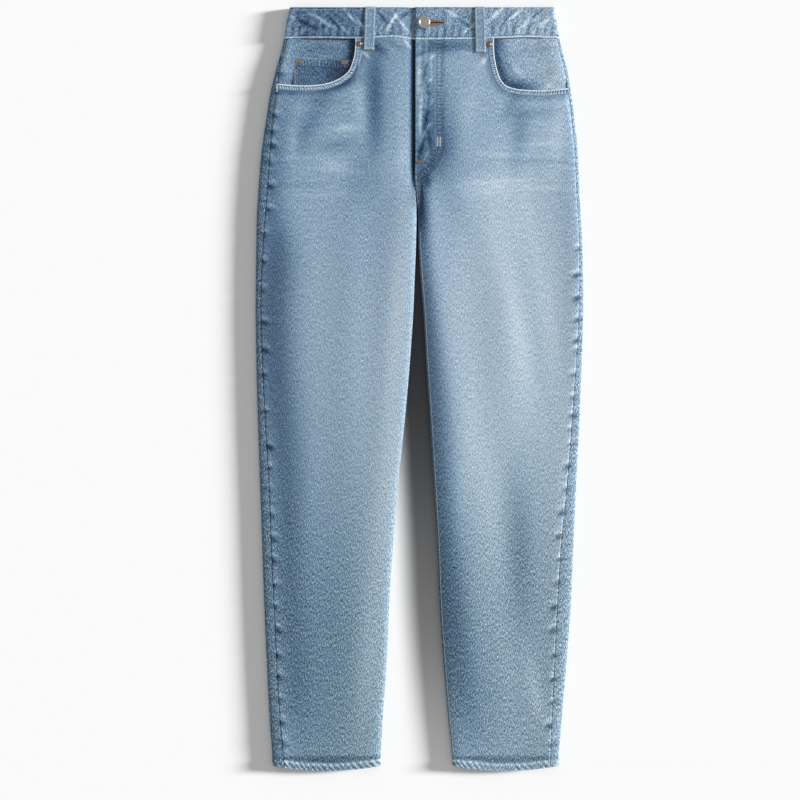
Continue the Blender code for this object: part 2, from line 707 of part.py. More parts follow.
def front_loop(name, material):
    """A strip over the band, clear of it in the middle, its foot on the panel below."""
    top_x, foot_x, top_y, foot_y = FRONT_LOOPS[name]
    seat = BAND_FRONT_MID + BAND_CLOTH / 2 + SEAM_GAP + LOOP_CLOTH / 2
    side = math.copysign(1, top_x)
    shares = np.array([0, 0.12, 0.24, 0.36, 0.55, 0.8, 0.94, 1.0])
    panel_z = top_height(side, np.array([foot_x]), np.array([foot_y + 4 * MM]))[0]
    foot_z = panel_z + CLOTH / 2 + SEAM_GAP + LOOP_CLOTH / 2 + 0.1 * MM
    heights = [foot_z, foot_z + 0.1 * MM, seat + 0.3 * MM, seat + 0.8 * MM]
    heights += [seat + 1.0 * MM, seat + 0.8 * MM, seat + 0.3 * MM, seat + 0.05 * MM]
    middle_x = foot_x + shares * (top_x - foot_x)
    x = middle_x[:, None] + np.array([-0.5, 0, 0.5]) * LOOP_WIDTH
    y = np.repeat((foot_y + shares * (top_y - foot_y))[:, None], 3, axis=1)
    z = np.repeat(np.array(heights)[:, None], 3, axis=1)
    return add_sheet(name, np.stack([x, y, z], axis=-1), LOOP_CLOTH, material)


def back_loop(name, material):
    """A strip that lies on the surface under the back of the band."""
    y = np.repeat(np.linspace(BACK_LOOP_FOOT_Y, BAND_TOP_Y, 4)[:, None], 3, axis=1)
    x = BACK_LOOPS[name] + np.array([-0.5, 0, 0.5]) * LOOP_WIDTH + 0 * y
    z = np.full_like(x, LOOP_CLOTH / 2)
    return add_sheet(name, np.stack([x, y, z], axis=-1), LOOP_CLOTH, material)


def zip_fly(material):
    """The closed zip's tape, hidden between the two fronts and the back."""
    y = np.repeat(np.linspace(ZIP_FOOT_Y, ZIP_TOP_Y, 6)[:, None], 3, axis=1)
    x = ZIP_INNER_X + np.array([0, 0.5, 1]) * ZIP_WIDTH + 0 * y
    depth = CLOTH * 1.5 + SEAM_GAP * 2 + ZIP_CLOTH / 2 + LAYER_EASE
    points = sheet_points(top_height, LEFT, x, y, -depth)
    return add_sheet("zip_fly", points, ZIP_CLOTH, material)


def turned(name, profile, steps, location, material):
    """A profile of (radius, height) points from the top centre down the outer side, turned round Z."""
    mesh = bpy.data.meshes.new(name)
    edges = [(i, i + 1) for i in range(len(profile) - 1)]
    mesh.from_pydata([(radius, 0, height) for radius, height in profile], edges, [])
    obj = bpy.data.objects.new(name, mesh)
    obj.location = location
    mesh.materials.append(material)
    screw = obj.modifiers.new("turn", "SCREW")
    screw.steps = steps
    screw.render_steps = steps
    screw.use_merge_vertices = True
    screw.merge_threshold = 0.00001
    screw.use_smooth_shade = True
    GARMENT.objects.link(obj)
    return obj


def button(material):
    foot = BAND_UNDER_MID + BAND_CLOTH / 2 + SEAM_GAP
    seat = BAND_OVER_MID + BAND_CLOTH / 2 + SEAM_GAP - foot
    profile = [
        (0, seat + 2.2 * MM),
        (4.6 * MM, seat + 2.1 * MM),
        (5.6 * MM, seat + 2.6 * MM),
        (7.2 * MM, seat + 2.5 * MM),
        (BUTTON_RADIUS, seat + 1.5 * MM),
        (7.9 * MM, seat),
        (SHANK_RADIUS, seat),
        (SHANK_RADIUS, 0),
        (0, 0),
    ]
    return turned("button", profile, 24, (BUTTON_X, BUTTON_Y, foot), material)


def rivet(name, material):
    x, y = RIVETS[name]
    side = math.copysign(1, x)
    foot = top_height(side, np.array([x]), np.array([y]))[0] + CLOTH / 2 + SEAM_GAP + 0.1 * MM
    profile = [
        (0, 1.5 * MM),
        (1.2 * MM, 1.4 * MM),
        (1.7 * MM, 0.9 * MM),
        (3.2 * MM, 0.8 * MM),
        (RIVET_RADIUS, 0.3 * MM),
        (RIVET_RADIUS, 0),
        (0, 0),
    ]
    return turned(name, profile, 16, (x, y, foot), material)


clear_scene()
GARMENT = new_collection("mom_jeans")
CUTTERS = new_collection("cutters")

denim = new_material("washed_denim", WASHED_DENIM, 0.9)
facing_denim = new_material("facing_denim", FACING_DENIM, 0.9)
band_denim = new_material("band_denim", BAND_DENIM, 0.9)
zip_tape = new_material("zip_tape", ZIP_TAPE_BLUE, 0.8)
steel = new_material("brushed_steel", BRUSHED_STEEL, 0.35, 1.0)
brass = new_material("aged_brass", AGED_BRASS, 0.4, 1.0)

for word, wearer_side in (("right", RIGHT), ("left", LEFT)):
    front_panel(f"front_{word}", wearer_side, denim)
    back_panel(f"back_{word}", wearer_side, denim)
    yoke(f"yoke_{word}", wearer_side, denim)
    facing(f"facing_{word}", wearer_side, facing_denim)
    back_pocket(f"back_pocket_{word}", wearer_side, denim)
coin_pocket(facing_denim)
waistband(band_denim)
for loop_name in FRONT_LOOPS:
    front_loop(loop_name, denim)
for loop_name in BACK_LOOPS:
    back_loop(loop_name, denim)
zip_fly(zip_tape)
button(steel)
for rivet_name in RIVETS:
    rivet(rivet_name, brass)
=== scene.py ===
"""Looks of the jeans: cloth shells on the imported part's forms, washed denim, stitching, light and camera.

Metres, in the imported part's frame. X runs to the wearer's left, Y to the waist, Z up.
"""

import json
import math

import bpy
import numpy as np
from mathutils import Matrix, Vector

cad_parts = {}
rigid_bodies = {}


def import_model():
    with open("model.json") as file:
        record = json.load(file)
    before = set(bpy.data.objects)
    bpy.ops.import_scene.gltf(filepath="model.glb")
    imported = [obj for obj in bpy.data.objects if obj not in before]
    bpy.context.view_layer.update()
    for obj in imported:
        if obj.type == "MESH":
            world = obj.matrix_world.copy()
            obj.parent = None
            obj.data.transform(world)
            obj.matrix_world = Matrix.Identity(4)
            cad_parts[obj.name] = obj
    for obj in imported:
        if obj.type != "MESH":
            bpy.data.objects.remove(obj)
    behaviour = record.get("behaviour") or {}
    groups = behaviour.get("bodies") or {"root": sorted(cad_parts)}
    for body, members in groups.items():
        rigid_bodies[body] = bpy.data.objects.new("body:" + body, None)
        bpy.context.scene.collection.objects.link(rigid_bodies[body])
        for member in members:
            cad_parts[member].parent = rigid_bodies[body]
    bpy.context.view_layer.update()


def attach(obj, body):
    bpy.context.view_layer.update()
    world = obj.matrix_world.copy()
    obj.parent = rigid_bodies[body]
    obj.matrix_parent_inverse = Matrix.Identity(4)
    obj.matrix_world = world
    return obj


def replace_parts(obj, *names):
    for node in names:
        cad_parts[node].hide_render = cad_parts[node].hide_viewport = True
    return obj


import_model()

MM = 0.001
RIGHT = -1
LEFT = 1

# Cloth walls and gaps, as in the part
CLOTH = 1.4 * MM
SEAM_GAP = 0.3 * MM
LAYER_EASE = 0.34 * MM
COIN_CLOTH = 1.1 * MM
LOOP_CLOTH = 1.2 * MM
BAND_CLOTH = 2.4 * MM
HEM_THICK = 2.2 * MM

# Heights of the sheets' middles above the surface, and how far in from the folds they curve
UNDER_MID = CLOTH / 2
EDGE_MID = 4.4 * MM
CENTRE_MID = 5.7 * MM
HIP_MID = 7.6 * MM
EDGE_LOFT = 8.2 * MM
LOFT_REACH = 28 * MM
TOP_ROUNDING = 22 * MM
UNDER_ROUNDING = 10 * MM

CROTCH_X = -3.2 * MM
CROTCH_Y = 233.5 * MM
FLY_EDGE_X = -5.5 * MM
FLY_FOOT_Y = 262 * MM
FLY_LAP = 9.5 * MM
HEM_END_Y = -489.5 * MM
HEM_BOW = -6.6 * MM
HEM_STITCH_Y = -483 * MM
BODY_TOP_Y = 384 * MM

BAND_TOP_Y = 496 * MM
BAND_FRONT_MID = 7.2 * MM
BAND_BACK_MID = 2.7 * MM
BAND_OVER_MID = 8.1 * MM
BAND_UNDER_MID = 5.4 * MM
BAND_FOLD = 3.0 * MM
BAND_UNDERLAP_X = 33 * MM
BAND_FOOT_EASE = 0.2 * MM
BACK_SEAM_Y = 455.2 * MM

BUTTON_X = 5.7 * MM
BUTTON_Y = 476.4 * MM
BUTTON_RADIUS = 8.3 * MM
SHANK_RADIUS = 2.6 * MM
BUTTONHOLE_END_X = 31 * MM
BUTTONHOLE_WIDTH = 2.0 * MM
RIVET_RADIUS = 3.9 * MM
RIVETS = {"rivet_right": (-77.9 * MM, 448.6 * MM), "rivet_left": (91.0 * MM, 447.8 * MM)}

# Each leg by height: outer edge, how far in from it the side seam lies, inner edge or fly
LEG_COLUMNS = ("y", "outer", "seam_in", "inner")
RIGHT_LEG = (
    (-0.490, -0.1904, 0.0143, -0.0511),
    (-0.420, -0.1955, 0.0131, -0.0471),
    (-0.360, -0.1985, 0.0125, -0.0428),
    (-0.280, -0.2020, 0.0124, -0.0392),
    (-0.200, -0.2048, 0.0114, -0.0340),
    (-0.120, -0.2075, 0.0111, -0.0273),
    (-0.040, -0.2103, 0.0093, -0.0188),
    (0.040, -0.2124, 0.0075, -0.0119),
    (0.100, -0.2132, 0.0064, -0.0079),
    (0.150, -0.2129, 0.0073, -0.0058),
    (0.190, -0.2123, 0.0086, -0.0043),
    (0.2335, -0.2112, 0.0109, -0.0038),
    (0.262, -0.2093, 0.0115, -0.0055),
    (0.310, -0.2053, 0.0106, -0.0055),
    (0.350, -0.1995, 0.0078, -0.0055),
    (0.385, -0.1939, 0.0062, -0.0055),
    (0.410, -0.1880, 0.0050, -0.0055),
    (0.452, -0.1768, 0.0040, -0.0055),
    (0.474, -0.1732, 0.0040, -0.0055),
    (0.496, -0.1685, 0.0040, -0.0055),
)
LEFT_LEG = (
    (-0.490, 0.1802, 0.0105, 0.0434),
    (-0.420, 0.1857, 0.0134, 0.0364),
    (-0.360, 0.1909, 0.0157, 0.0314),
    (-0.280, 0.1969, 0.0179, 0.0260),
    (-0.200, 0.2004, 0.0163, 0.0229),
    (-0.120, 0.2040, 0.0121, 0.0184),
    (-0.040, 0.2082, 0.0102, 0.0135),
    (0.040, 0.2112, 0.0075, 0.0083),
    (0.100, 0.2129, 0.0060, 0.0050),
    (0.150, 0.2127, 0.0048, 0.0010),
    (0.190, 0.2116, 0.0042, -0.0013),
    (0.2335, 0.2093, 0.0040, -0.0026),
    (0.262, 0.2077, 0.0040, -0.0055),
    (0.310, 0.2056, 0.0040, -0.0055),
    (0.350, 0.2017, 0.0040, -0.0055),
    (0.385, 0.1972, 0.0040, -0.0055),
    (0.410, 0.1931, 0.0040, -0.0055),
    (0.452, 0.1830, 0.0040, -0.0055),
    (0.474, 0.1790, 0.0040, -0.0055),
    (0.496, 0.1755, 0.0040, -0.0055),
)
LEGS = {
    RIGHT: dict(zip(LEG_COLUMNS, np.array(RIGHT_LEG).T)),
    LEFT: dict(zip(LEG_COLUMNS, np.array(LEFT_LEG).T)),
}
WAIST_SEAM = (
    (-0.1770, 0.4552),
    (-0.1229, 0.4556),
    (-0.0735, 0.4553),
    (-0.0311, 0.4568),
    (-0.0055, 0.4540),
    (0.0250, 0.4538),
    (0.0974, 0.4553),
    (0.1405, 0.4568),
    (0.1830, 0.4552),
)
BAND_FOOT_Y = 454.5 * MM
MOUTHS = {
    RIGHT: (
        (-0.0833, 0.4550),
        (-0.0846, 0.4354),
        (-0.0875, 0.4241),
        (-0.0918, 0.4142),
        (-0.0988, 0.4072),
        (-0.1087, 0.4014),
        (-0.1200, 0.3975),
        (-0.1340, 0.3952),
        (-0.1678, 0.3952),
        (-0.1862, 0.3968),
    ),
    LEFT: (
        (0.0966, 0.4552),
        (0.0968, 0.4395),
        (0.0982, 0.4278),
        (0.1015, 0.4130),
        (0.1072, 0.3997),
        (0.1123, 0.3945),
        (0.1239, 0.3905),
        (0.1405, 0.3886),
        (0.1654, 0.3880),
        (0.1920, 0.3908),
    ),
}
FACING_UNDER = 12 * MM
FACING_FOOT_Y = 377 * MM
FACING_SIDE_EASE = 0.3 * MM
COIN_OUTER_X = -163.7 * MM
COIN_INNER_X = -80.0 * MM
COIN_FOOT_Y = 386 * MM
COIN_TOP_OUTER_Y = 431.7 * MM
COIN_TOP_INNER_Y = 427.2 * MM
YOKE_CENTRE_Y = 388 * MM
YOKE_SIDE_Y = 420 * MM
YOKE_HALF_WIDTH = 190 * MM
YOKE_READ_Y = 400 * MM
BACK_POCKET = (
    (30 * MM, 366 * MM),
    (158 * MM, 372 * MM),
    (150 * MM, 238 * MM),
    (92 * MM, 216 * MM),
    (35 * MM, 235 * MM),
)
POCKET_LIFT = CLOTH + SEAM_GAP
UNDER_LAYER = CLOTH + SEAM_GAP + LAYER_EASE
LOOP_LIFT = LOOP_CLOTH + SEAM_GAP
LOOP_WIDTH = 13.4 * MM
FRONT_LOOPS = {
    "loop_front_right": (-63.8 * MM, -65.8 * MM, 496.6 * MM, 440.8 * MM),
    "loop_front_left": (78.1 * MM, 79.6 * MM, 496.4 * MM, 437.8 * MM),
}
BACK_LOOPS = {"loop_back_right": -104 * MM, "loop_centre_back": 0.0, "loop_back_left": 106 * MM}
BACK_LOOP_FOOT_Y = 441 * MM

# Soft folds: x, y, direction from X in degrees, length, width, height
FOLD_COLUMNS = ("x", "y", "angle", "length", "width", "height")
FOLDS = (
    (0.0085, 0.400, 90, 0.050, 0.0050, 0.0007),
    (0.0260, 0.395, 90, 0.060, 0.0055, -0.0005),
    (-0.030, 0.300, 62, 0.050, 0.0100, 0.0005),
    (0.050, 0.255, 115, 0.060, 0.0120, 0.0006),
    (-0.090, 0.140, 88, 0.130, 0.0160, 0.0006),
    (0.120, 0.060, 92, 0.150, 0.0180, 0.0007),
    (-0.150, -0.130, 84, 0.110, 0.0150, 0.0005),
    (0.060, -0.160, 84, 0.120, 0.0140, -0.0005),
    (-0.175, -0.440, 60, 0.030, 0.0090, 0.0006),
    (0.165, -0.440, 118, 0.030, 0.0090, 0.0006),
)

# Where dark pucker marks sit along each side seam
SEAM_MARKS = {
    RIGHT: (
        0.428, 0.410, 0.386, 0.355, 0.334, 0.316, 0.295, 0.264, 0.233, 0.200,
        0.165, 0.129, 0.087, 0.051, 0.018, -0.030, -0.075, -0.103, -0.131, -0.164,
        -0.194, -0.222, -0.255, -0.283, -0.313, -0.346, -0.374, -0.404, -0.433, -0.459,
    ),
    LEFT: (
        0.181, 0.148, 0.118, 0.090, 0.063, 0.048, 0.018, -0.012, -0.035, -0.053,
        -0.073, -0.101, -0.131, -0.160, -0.191, -0.222, -0.252, -0.283, -0.313, -0.346,
        -0.378, -0.408, -0.437, -0.463,
    ),
}
BORDER = 7.6 * MM
WASH_LIMITS = (0.05, 0.98)

# Stitches: distance from one to the next, length and radius, and the rows of a double seam
PITCH = 3.3 * MM
CLOSE_PITCH = 2.8 * MM
STITCH = 2.5 * MM
SHORT_STITCH = 2.1 * MM
TACK_STITCH = 2.4 * MM
TACK_WIDTH = 2.4 * MM
FLY_TACK_WIDTH = 2.6 * MM
THREAD = 0.30 * MM
TACK_THREAD = 0.28 * MM
FINE_THREAD = 0.26 * MM
STITCH_LIFT = 0.1 * MM
DOUBLE_ROWS = (1.6 * MM, 4.8 * MM)

J_WIDTH = 6.6 * MM
J_PATH = (
    (0.0254, 0.4530),
    (0.0254, 0.4000),
    (0.0256, 0.3400),
    (0.0262, 0.3200),
    (0.0250, 0.3090),
    (0.0221, 0.3025),
    (0.0156, 0.2917),
    (0.0070, 0.2822),
    (-0.0038, 0.2757),
)


def smooth_curve(at, known, values):
    """Values at the places 'at', on a smooth curve through the known ones."""
    known = np.asarray(known, float)
    values = np.asarray(values, float)
    slopes = np.gradient(values, known)
    at = np.clip(at, known[0], known[-1])
    i = np.clip(np.searchsorted(known, at) - 1, 0, len(known) - 2)
    span = known[i + 1] - known[i]
    t = (at - known[i]) / span
    start = (1 + 2 * t) * (1 - t) ** 2 * values[i] + t * (1 - t) ** 2 * span * slopes[i]
    end = t * t * (3 - 2 * t) * values[i + 1] - t * t * (1 - t) * span * slopes[i + 1]
    return start + end


def smooth_step(value, low, high):
    """0 up to the low value, 1 from the high one on, smooth between them."""
    t = np.clip((value - low) / (high - low), 0.0, 1.0)
    return t * t * (3 - 2 * t)


def bell(value, centre, width):
    """1 at the centre, fading smoothly to both sides."""
    return np.exp(-(((value - centre) / width) ** 2))


def leg_edge(side, column, y):
    """One column of the leg's table at these heights."""
    return smooth_curve(y, LEGS[side]["y"], LEGS[side][column])


def side_seam_x(side, y, ease=0.0):
    """Where the side seam lies, or a line this far inside it."""
    return leg_edge(side, "outer", y) - side * (leg_edge(side, "seam_in", y) + ease)


def waist_seam_y(x):
    """Height of the seam under the waistband."""
    xs, ys = zip(*WAIST_SEAM)
    return smooth_curve(x, xs, ys)


def rise(distance, rounding):
    """0 on a folded edge, standing straight up there, to 1 where the rounding ends."""
    t = np.clip(distance / rounding, 0.0, 1.0)
    return np.sqrt(1 - (1 - t) ** 3)


def edge_distances(side, x, y):
    """How far points of a sheet's middle lie from the outer fold and from the inner fold or crotch."""
    half = CLOTH / 2
    outer = np.maximum(side * (leg_edge(side, "outer", y) - x) - half, 0)
    beside = np.maximum(side * (x - leg_edge(side, "inner", y)) - half, 0)
    above = np.hypot(x - CROTCH_X, y - CROTCH_Y)
    return outer, np.where(y <= CROTCH_Y, beside, above)


def relief(folds, x, y):
    """Sum of soft ridges and troughs."""
    total = np.zeros_like(x)
    for row in folds:
        fold = dict(zip(FOLD_COLUMNS, row))
        turn = math.radians(fold["angle"])
        along = (x - fold["x"]) * math.cos(turn) + (y - fold["y"]) * math.sin(turn)
        across = (y - fold["y"]) * math.cos(turn) - (x - fold["x"]) * math.sin(turn)
        total += fold["height"] * np.exp(-((along / fold["length"]) ** 2) - (across / fold["width"]) ** 2)
    return total


def top_height(side, x, y):
    """Height of the upper sheet's middle, as in the part."""
    outer, inner = edge_distances(side, x, y)
    nearest = np.minimum(outer, inner)
    flat = CENTRE_MID + (HIP_MID - CENTRE_MID) * smooth_step(y, 0.235, 0.300)
    flat += 0.6 * MM * bell(x, 0.012, 0.030) * smooth_step(y, 0.40, 0.45)
    crest = flat + (EDGE_LOFT - flat) * bell(nearest, 0, LOFT_REACH)
    crest -= 0.9 * MM * smooth_step(y, 0.40, 0.45) * bell(outer, 0, LOFT_REACH)
    rounded = rise(outer, TOP_ROUNDING) * rise(inner, TOP_ROUNDING)
    return EDGE_MID + (crest - EDGE_MID) * rounded + relief(FOLDS, x, y) * rounded


def under_height(side, x, y):
    """Height of the lower sheet's middle."""
    outer, inner = edge_distances(side, x, y)
    rounded = rise(outer, UNDER_ROUNDING) * rise(inner, UNDER_ROUNDING)
    inboard = smooth_step(outer, 16 * MM, 34 * MM)
    over_pockets = POCKET_LIFT * smooth_step(y, 0.170, 0.200) * (1 - smooth_step(y, 0.384, 0.405))
    over_loops = LOOP_LIFT * smooth_step(y, 0.408, 0.432)
    return EDGE_MID - (EDGE_MID - UNDER_MID) * rounded + inboard * (over_pockets + over_loops)


def sheet_points(height, side, x, y, offset=0.0):
    """Points of a sheet at (x, y), moved out along its normal by the offset."""
    step = 0.2 * MM
    z = height(side, x, y)
    slope_x = (height(side, x + step, y) - height(side, x - step, y)) / (2 * step)
    slope_y = (height(side, x, y + step) - height(side, x, y - step)) / (2 * step)
    length = np.sqrt(1 + slope_x**2 + slope_y**2)
    return np.stack(
        [x - offset * slope_x / length, y - offset * slope_y / length, z + offset / length],
        axis=-1,
    )


def hem_bow(side, x, y):
    """The hem's lower edge bows towards the toes between its two corners."""
    inner = leg_edge(side, "inner", y)
    outer = leg_edge(side, "outer", y)
    across = np.clip((x - inner) / (outer - inner), 0, 1)
    fade = 1 - smooth_step(y, HEM_END_Y, HEM_STITCH_Y + 8 * MM)
    return HEM_BOW * fade * (1 - (2 * across - 1) ** 2)


def spread(start, stop, count):
    """Evenly spaced values strictly between two arrays of ends."""
    steps = np.arange(1, count + 1) / (count + 1)
    return start[:, None] + (stop - start)[:, None] * steps


def ribs(at, pitch, seed):
    """An uneven wave from -1 to 1: short ridges side by side, each a little wider or narrower."""
    low, high = float(np.min(at)), float(np.max(at))
    steps = np.random.default_rng(seed).uniform(0.7, 1.3, int((high - low) / pitch) + 4)
    edges = low - pitch + np.concatenate([[0], np.cumsum(steps)]) * pitch
    return np.cos(2 * math.pi * np.interp(at, edges, np.arange(len(edges))))


def path_distance(path, x, y):
    """Signed distance of points from a path, and how far along it the nearest place is."""
    path = np.array(path)
    best = np.full(x.shape, 1e9)
    signed = np.zeros(x.shape)
    along = np.zeros(x.shape)
    reach = 0.0
    for (ax, ay), (bx, by) in zip(path[:-1], path[1:]):
        dx, dy = bx - ax, by - ay
        length = math.hypot(dx, dy)
        t = np.clip(((x - ax) * dx + (y - ay) * dy) / length**2, 0, 1)
        off_x, off_y = x - ax - t * dx, y - ay - t * dy
        distance = np.hypot(off_x, off_y)
        nearer = distance < best
        best = np.where(nearer, distance, best)
        signed = np.where(nearer, np.sign(dx * off_y - dy * off_x) * distance, signed)
        along = np.where(nearer, reach + t * length, along)
        reach += length
    return signed, along


def path_reach(path):
    """How far along a path each of its points lies."""
    return np.concatenate([[0], np.cumsum(np.hypot(*np.diff(path, axis=0).T))])


def path_normals(path):
    """Unit vectors to the left of a path's course."""
    tangent = np.gradient(path, axis=0)
    tangent /= np.hypot(tangent[:, 0], tangent[:, 1])[:, None]
    return np.stack([-tangent[:, 1], tangent[:, 0]], axis=-1)


def smooth_path(path, count):
    """This many evenly spaced points of a smooth path through the given ones."""
    points = np.array(path)
    reach = path_reach(points)
    at = np.linspace(0, reach[-1], count)
    return np.stack([smooth_curve(at, reach, points[:, 0]), smooth_curve(at, reach, points[:, 1])], axis=-1)


def hem_cloth(y):
    """1 on the turned-up hem, 0 above its stitching."""
    return 1 - smooth_step(y, HEM_STITCH_Y + 1 * MM, HEM_STITCH_Y + 3 * MM)


def hem_marks(side, x, y):
    """Height above a straight hem, the hem's share, and its slanting ridges."""
    level = y - hem_bow(side, x, y)
    return level, hem_cloth(level), ribs(x + 0.9 * level, 7 * MM, 5 + side)


def leg_rows(leg_step, hip_step):
    """Heights of the rows of points: close at the hem and the crotch."""
    hem = np.arange(HEM_END_Y, HEM_STITCH_Y + 8 * MM, 0.9 * MM)
    crotch = CROTCH_Y - 12 * MM
    leg = np.linspace(hem[-1], crotch, int((crotch - hem[-1]) / leg_step))[1:-1]
    low = np.linspace(crotch, CROTCH_Y, 9)
    hip = np.linspace(CROTCH_Y, BODY_TOP_Y, int((BODY_TOP_Y - CROTCH_Y) / hip_step))[1:]
    return np.concatenate([hem, leg, low, hip])


def inner_limit(side, y, front):
    """Where a sheet ends towards the middle: a fold below the crotch, a seam above it."""
    edge = leg_edge(side, "inner", y)
    folded = edge + side * CLOTH / 2
    seamed = edge + side * SEAM_GAP / 2
    if not front:
        seamed = CROTCH_X + 0 * y + side * SEAM_GAP / 2
    elif side == RIGHT:
        seamed = seamed + (FLY_LAP + SEAM_GAP / 2) * smooth_step(y, 0.272, 0.295)
    return np.where(y <= CROTCH_Y, folded, seamed)


def crotch_ease(y):
    """Half the gap between the layers at the inner edge."""
    return SEAM_GAP / 2 + 0.35 * MM * bell(y, CROTCH_Y, 6 * MM)


FOLDED_COLUMNS = np.concatenate([[0, 0.17, 0.5, 1.0, 1.8, 2.8], np.linspace(4.2, 37, 24)]) * MM
SEAMED_COLUMNS = np.linspace(0, 37, 30) * MM


def front_columns(side, y):
    """How far each column lies from the inner limit, close together at both ends."""
    near = np.where((y <= CROTCH_Y)[:, None], FOLDED_COLUMNS, SEAMED_COLUMNS)
    seam = side_seam_x(side, y, SEAM_GAP / 2)
    width = side * (seam - inner_limit(side, y, True))
    far = width[:, None] - np.linspace(24, 0, 13) * MM
    return np.hstack([near, spread(near[:, -1], far[:, 0], 24), far])


def fly_dip(x, y):
    """How far the right front goes down under the fly."""
    near = smooth_step(x, FLY_EDGE_X - 13 * MM, FLY_EDGE_X - 2 * MM)
    return -UNDER_LAYER * near * smooth_step(y, FLY_FOOT_Y - 8 * MM, FLY_FOOT_Y + 10 * MM)


def mouth_line(side, inset, count):
    """The pocket mouth, or a line this far inside it, from the waist seam to the side seam."""
    path = smooth_path(MOUTHS[side], 400)
    line = path - side * inset * path_normals(path)
    reach = path_reach(line)
    at = np.linspace(0, reach[-1], count)
    line = np.stack([np.interp(at, reach, line[:, 0]), np.interp(at, reach, line[:, 1])], axis=-1)
    line[0, 1] = waist_seam_y(line[0, 0]) - SEAM_GAP / 2
    line[-1, 0] = side_seam_x(side, line[-1, 1], SEAM_GAP / 2)
    return line


# Paler and darker patches on the fronts, partly the denim's wash and partly painted shade: x, y, direction,
# length, width, strength
FADES_AND_SHADE = {
    RIGHT: (
        (-0.135, 0.130, 90, 0.230, 0.030, 0.03),
        (-0.075, 0.030, 90, 0.160, 0.022, 0.05),
        (-0.060, 0.290, 20, 0.060, 0.022, 0.05),
        (-0.115, -0.340, 90, 0.230, 0.045, -0.13),
        (-0.058, 0.385, 90, 0.085, 0.012, -0.23),
        (-0.076, 0.368, 96, 0.045, 0.009, 0.09),
        (-0.164, 0.316, 88, 0.025, 0.008, 0.10),
        (-0.023, 0.340, 90, 0.080, 0.007, 0.06),
        (-0.030, 0.080, 86, 0.170, 0.014, 0.05),
        (-0.143, 0.345, 62, 0.060, 0.014, -0.13),
        (-0.077, 0.280, 80, 0.032, 0.016, -0.09),
        (-0.028, 0.100, 86, 0.190, 0.017, 0.10),
        (-0.048, -0.160, 84, 0.160, 0.017, 0.09),
        (-0.066, -0.360, 85, 0.100, 0.016, 0.08),
        (-0.097, 0.398, 20, 0.022, 0.007, -0.20),
        (-0.162, 0.370, -4, 0.024, 0.008, 0.09),
        (-0.096, 0.339, 6, 0.016, 0.006, 0.13),
        (-0.112, 0.292, -4, 0.016, 0.007, 0.09),
        (-0.110, 0.316, 4, 0.024, 0.007, -0.07),
        (-0.0775, 0.428, 80, 0.012, 0.0014, 0.30),
        (-0.0820, 0.416, 60, 0.008, 0.0016, -0.20),
        (-0.0715, 0.4356, -39, 0.010, 0.0017, 0.30),
        (-0.0530, 0.4425, -35, 0.013, 0.0050, -0.20),
        (-0.0340, 0.4480, -28, 0.014, 0.0035, -0.12),
        (-0.0156, 0.4486, -53, 0.009, 0.0017, 0.24),
        (-0.150, 0.372, 4, 0.040, 0.006, -0.08),
        (-0.160, 0.300, 2, 0.050, 0.0030, 0.05),
        (-0.110, 0.285, -4, 0.045, 0.0030, 0.05),
        (-0.165, 0.265, 3, 0.040, 0.0035, -0.05),
        (-0.120, 0.252, 0, 0.050, 0.0030, 0.04),
    ),
    LEFT: (
        (0.120, 0.255, 80, 0.100, 0.035, 0.09),
        (0.125, 0.030, 90, 0.150, 0.028, 0.08),
        (0.060, 0.080, 95, 0.210, 0.022, 0.05),
        (0.085, -0.120, 100, 0.140, 0.022, 0.06),
        (0.130, -0.205, 92, 0.100, 0.018, -0.14),
        (0.175, 0.080, 92, 0.260, 0.020, 0.06),
        (0.126, 0.315, 88, 0.060, 0.012, -0.10),
        (0.024, 0.335, 90, 0.065, 0.020, -0.20),
        (0.002, 0.236, 90, 0.040, 0.009, -0.28),
        (0.030, 0.305, 60, 0.040, 0.014, -0.10),
        (0.150, -0.395, 102, 0.060, 0.011, 0.09),
        (0.122, 0.100, 103, 0.140, 0.014, 0.06),
        (0.150, 0.290, 88, 0.040, 0.014, -0.03),
        (0.155, 0.150, 100, 0.120, 0.012, 0.05),
        (0.110, -0.390, 90, 0.070, 0.030, -0.04),
        (0.115, -0.370, 96, 0.060, 0.014, 0.05),
        (0.185, -0.210, 88, 0.160, 0.010, 0.05),
        (0.050, 0.446, 4, 0.032, 0.010, -0.16),
        (0.085, 0.262, 4, 0.042, 0.016, 0.07),
        (0.0840, 0.426, 55, 0.009, 0.0022, 0.28),
        (0.0780, 0.437, -35, 0.012, 0.0030, -0.16),
        (0.0560, 0.438, -30, 0.010, 0.0020, 0.12),
        (0.134, 0.338, 88, 0.028, 0.012, -0.08),
        (0.150, 0.358, 4, 0.030, 0.008, -0.09),
        (0.060, 0.350, 80, 0.050, 0.013, 0.08),
        (0.022, 0.446, 0, 0.030, 0.008, -0.16),
        (0.180, 0.340, 88, 0.050, 0.009, 0.08),
        (0.118, 0.368, 62, 0.022, 0.007, -0.10),
        (0.048, 0.290, 85, 0.100, 0.018, -0.07),
        (0.150, 0.318, 2, 0.045, 0.0030, 0.06),
        (0.110, 0.305, -3, 0.040, 0.0030, 0.06),
        (0.155, 0.296, 0, 0.045, 0.0035, -0.06),
        (0.105, 0.270, 3, 0.050, 0.0030, 0.05),
        (0.160, 0.262, -2, 0.040, 0.0030, 0.05),
    ),
}
